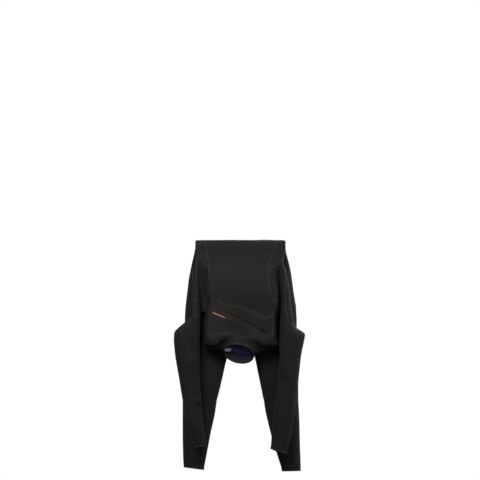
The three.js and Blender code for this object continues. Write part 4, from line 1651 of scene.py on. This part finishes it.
@dataclass
class Studio:
    """A white room: floor, soft lights and the camera. Sizes are in metres."""

    floor_z: float = -1.25
    camera: tuple[float, float, float] = (0.0, -5.867, 0.024)
    lens: float = 100.0
    ambient: float = 0.37
    floor_glow: float = 0.06
    lamps: tuple[tuple[str, tuple[float, float, float], float, float], ...] = (
        ("key", (-0.8, -1.9, 1.35), 1.0, 57),
        ("fill", (2.6, -2.2, 0.5), 1.6, 38),
        ("right", (2.6, 0.6, 0.8), 1.4, 60),
        ("left", (-2.6, 0.9, 0.8), 1.4, 6),
        ("rear", (0.9, 2.2, 1.3), 1.2, 60),
    )

    def floor(self) -> None:
        """Lays the plain white floor."""
        bm = bmesh.new()
        bmesh.ops.create_grid(bm, x_segments=1, y_segments=1, size=12)
        bmesh.ops.translate(bm, vec=Vector((0, 0, self.floor_z)), verts=bm.verts)
        piece = link("studio_floor", mesh_from(bm, "studio_floor"))
        paint = bpy.data.materials.new("lit_white_acrylic")
        paint.use_nodes = True
        tree = paint.node_tree
        tree.nodes.clear()
        ray = add_node(tree, "ShaderNodeLightPath")
        strength = add_node(
            tree,
            "ShaderNodeMapRange",
            {"Value": ray.outputs["Is Camera Ray"], "To Min": self.floor_glow, "To Max": 1.0},
        )
        glow = add_node(tree, "ShaderNodeEmission", {"Strength": strength.outputs["Result"]})
        add_node(tree, "ShaderNodeOutputMaterial", {"Surface": glow.outputs["Emission"]})
        piece.data.materials.append(paint)

    def light(self, name: str, place: tuple[float, float, float], size: float, power: float) -> None:
        """Adds a square soft light that faces the garment's middle.

        Args:
            name: The light's name.
            place: Where it stands.
            size: Its side.
            power: Its power, in watts.
        """
        lamp = bpy.data.lights.new(name, "AREA")
        lamp.shape, lamp.size, lamp.energy = "SQUARE", size, power
        piece = bpy.data.objects.new(name, lamp)
        piece.location = place
        piece.rotation_euler = (Vector((0, 0, -0.45)) - Vector(place)).to_track_quat("-Z", "Y").to_euler()
        bpy.context.scene.collection.objects.link(piece)

    def build(self) -> None:
        """Sets up the camera, the white surroundings and the lights."""
        scene = bpy.context.scene
        scene.view_settings.view_transform = "Standard"
        world = bpy.data.worlds.new("white_room")
        world.use_nodes = True
        tree = world.node_tree
        back = tree.nodes["Background"]
        back.inputs["Color"].default_value = (1, 1, 1, 1)
        ray = add_node(tree, "ShaderNodeLightPath")
        strength = add_node(
            tree,
            "ShaderNodeMapRange",
            {"Value": ray.outputs["Is Camera Ray"], "To Min": self.ambient, "To Max": 1.0},
        )
        tree.links.new(strength.outputs["Result"], back.inputs["Strength"])
        scene.world = world
        lens = bpy.data.cameras.new("camera")
        lens.lens, lens.sensor_width = self.lens, 36
        lens.clip_end = 60
        eye = bpy.data.objects.new("camera", lens)
        eye.location = self.camera
        eye.rotation_euler = (math.radians(90), 0, 0)
        scene.collection.objects.link(eye)
        scene.camera = eye
        self.floor()
        for name, place, size, power in self.lamps:
            self.light(name, place, size, power)


def main() -> None:
    """Builds the studio, the garment and its trims."""
    Studio().build()
    garment = Garment()
    garment.build_upper()
    garment.build_lower()
    ChestTrims().build(garment)


if __name__ == "__main__":
    main()
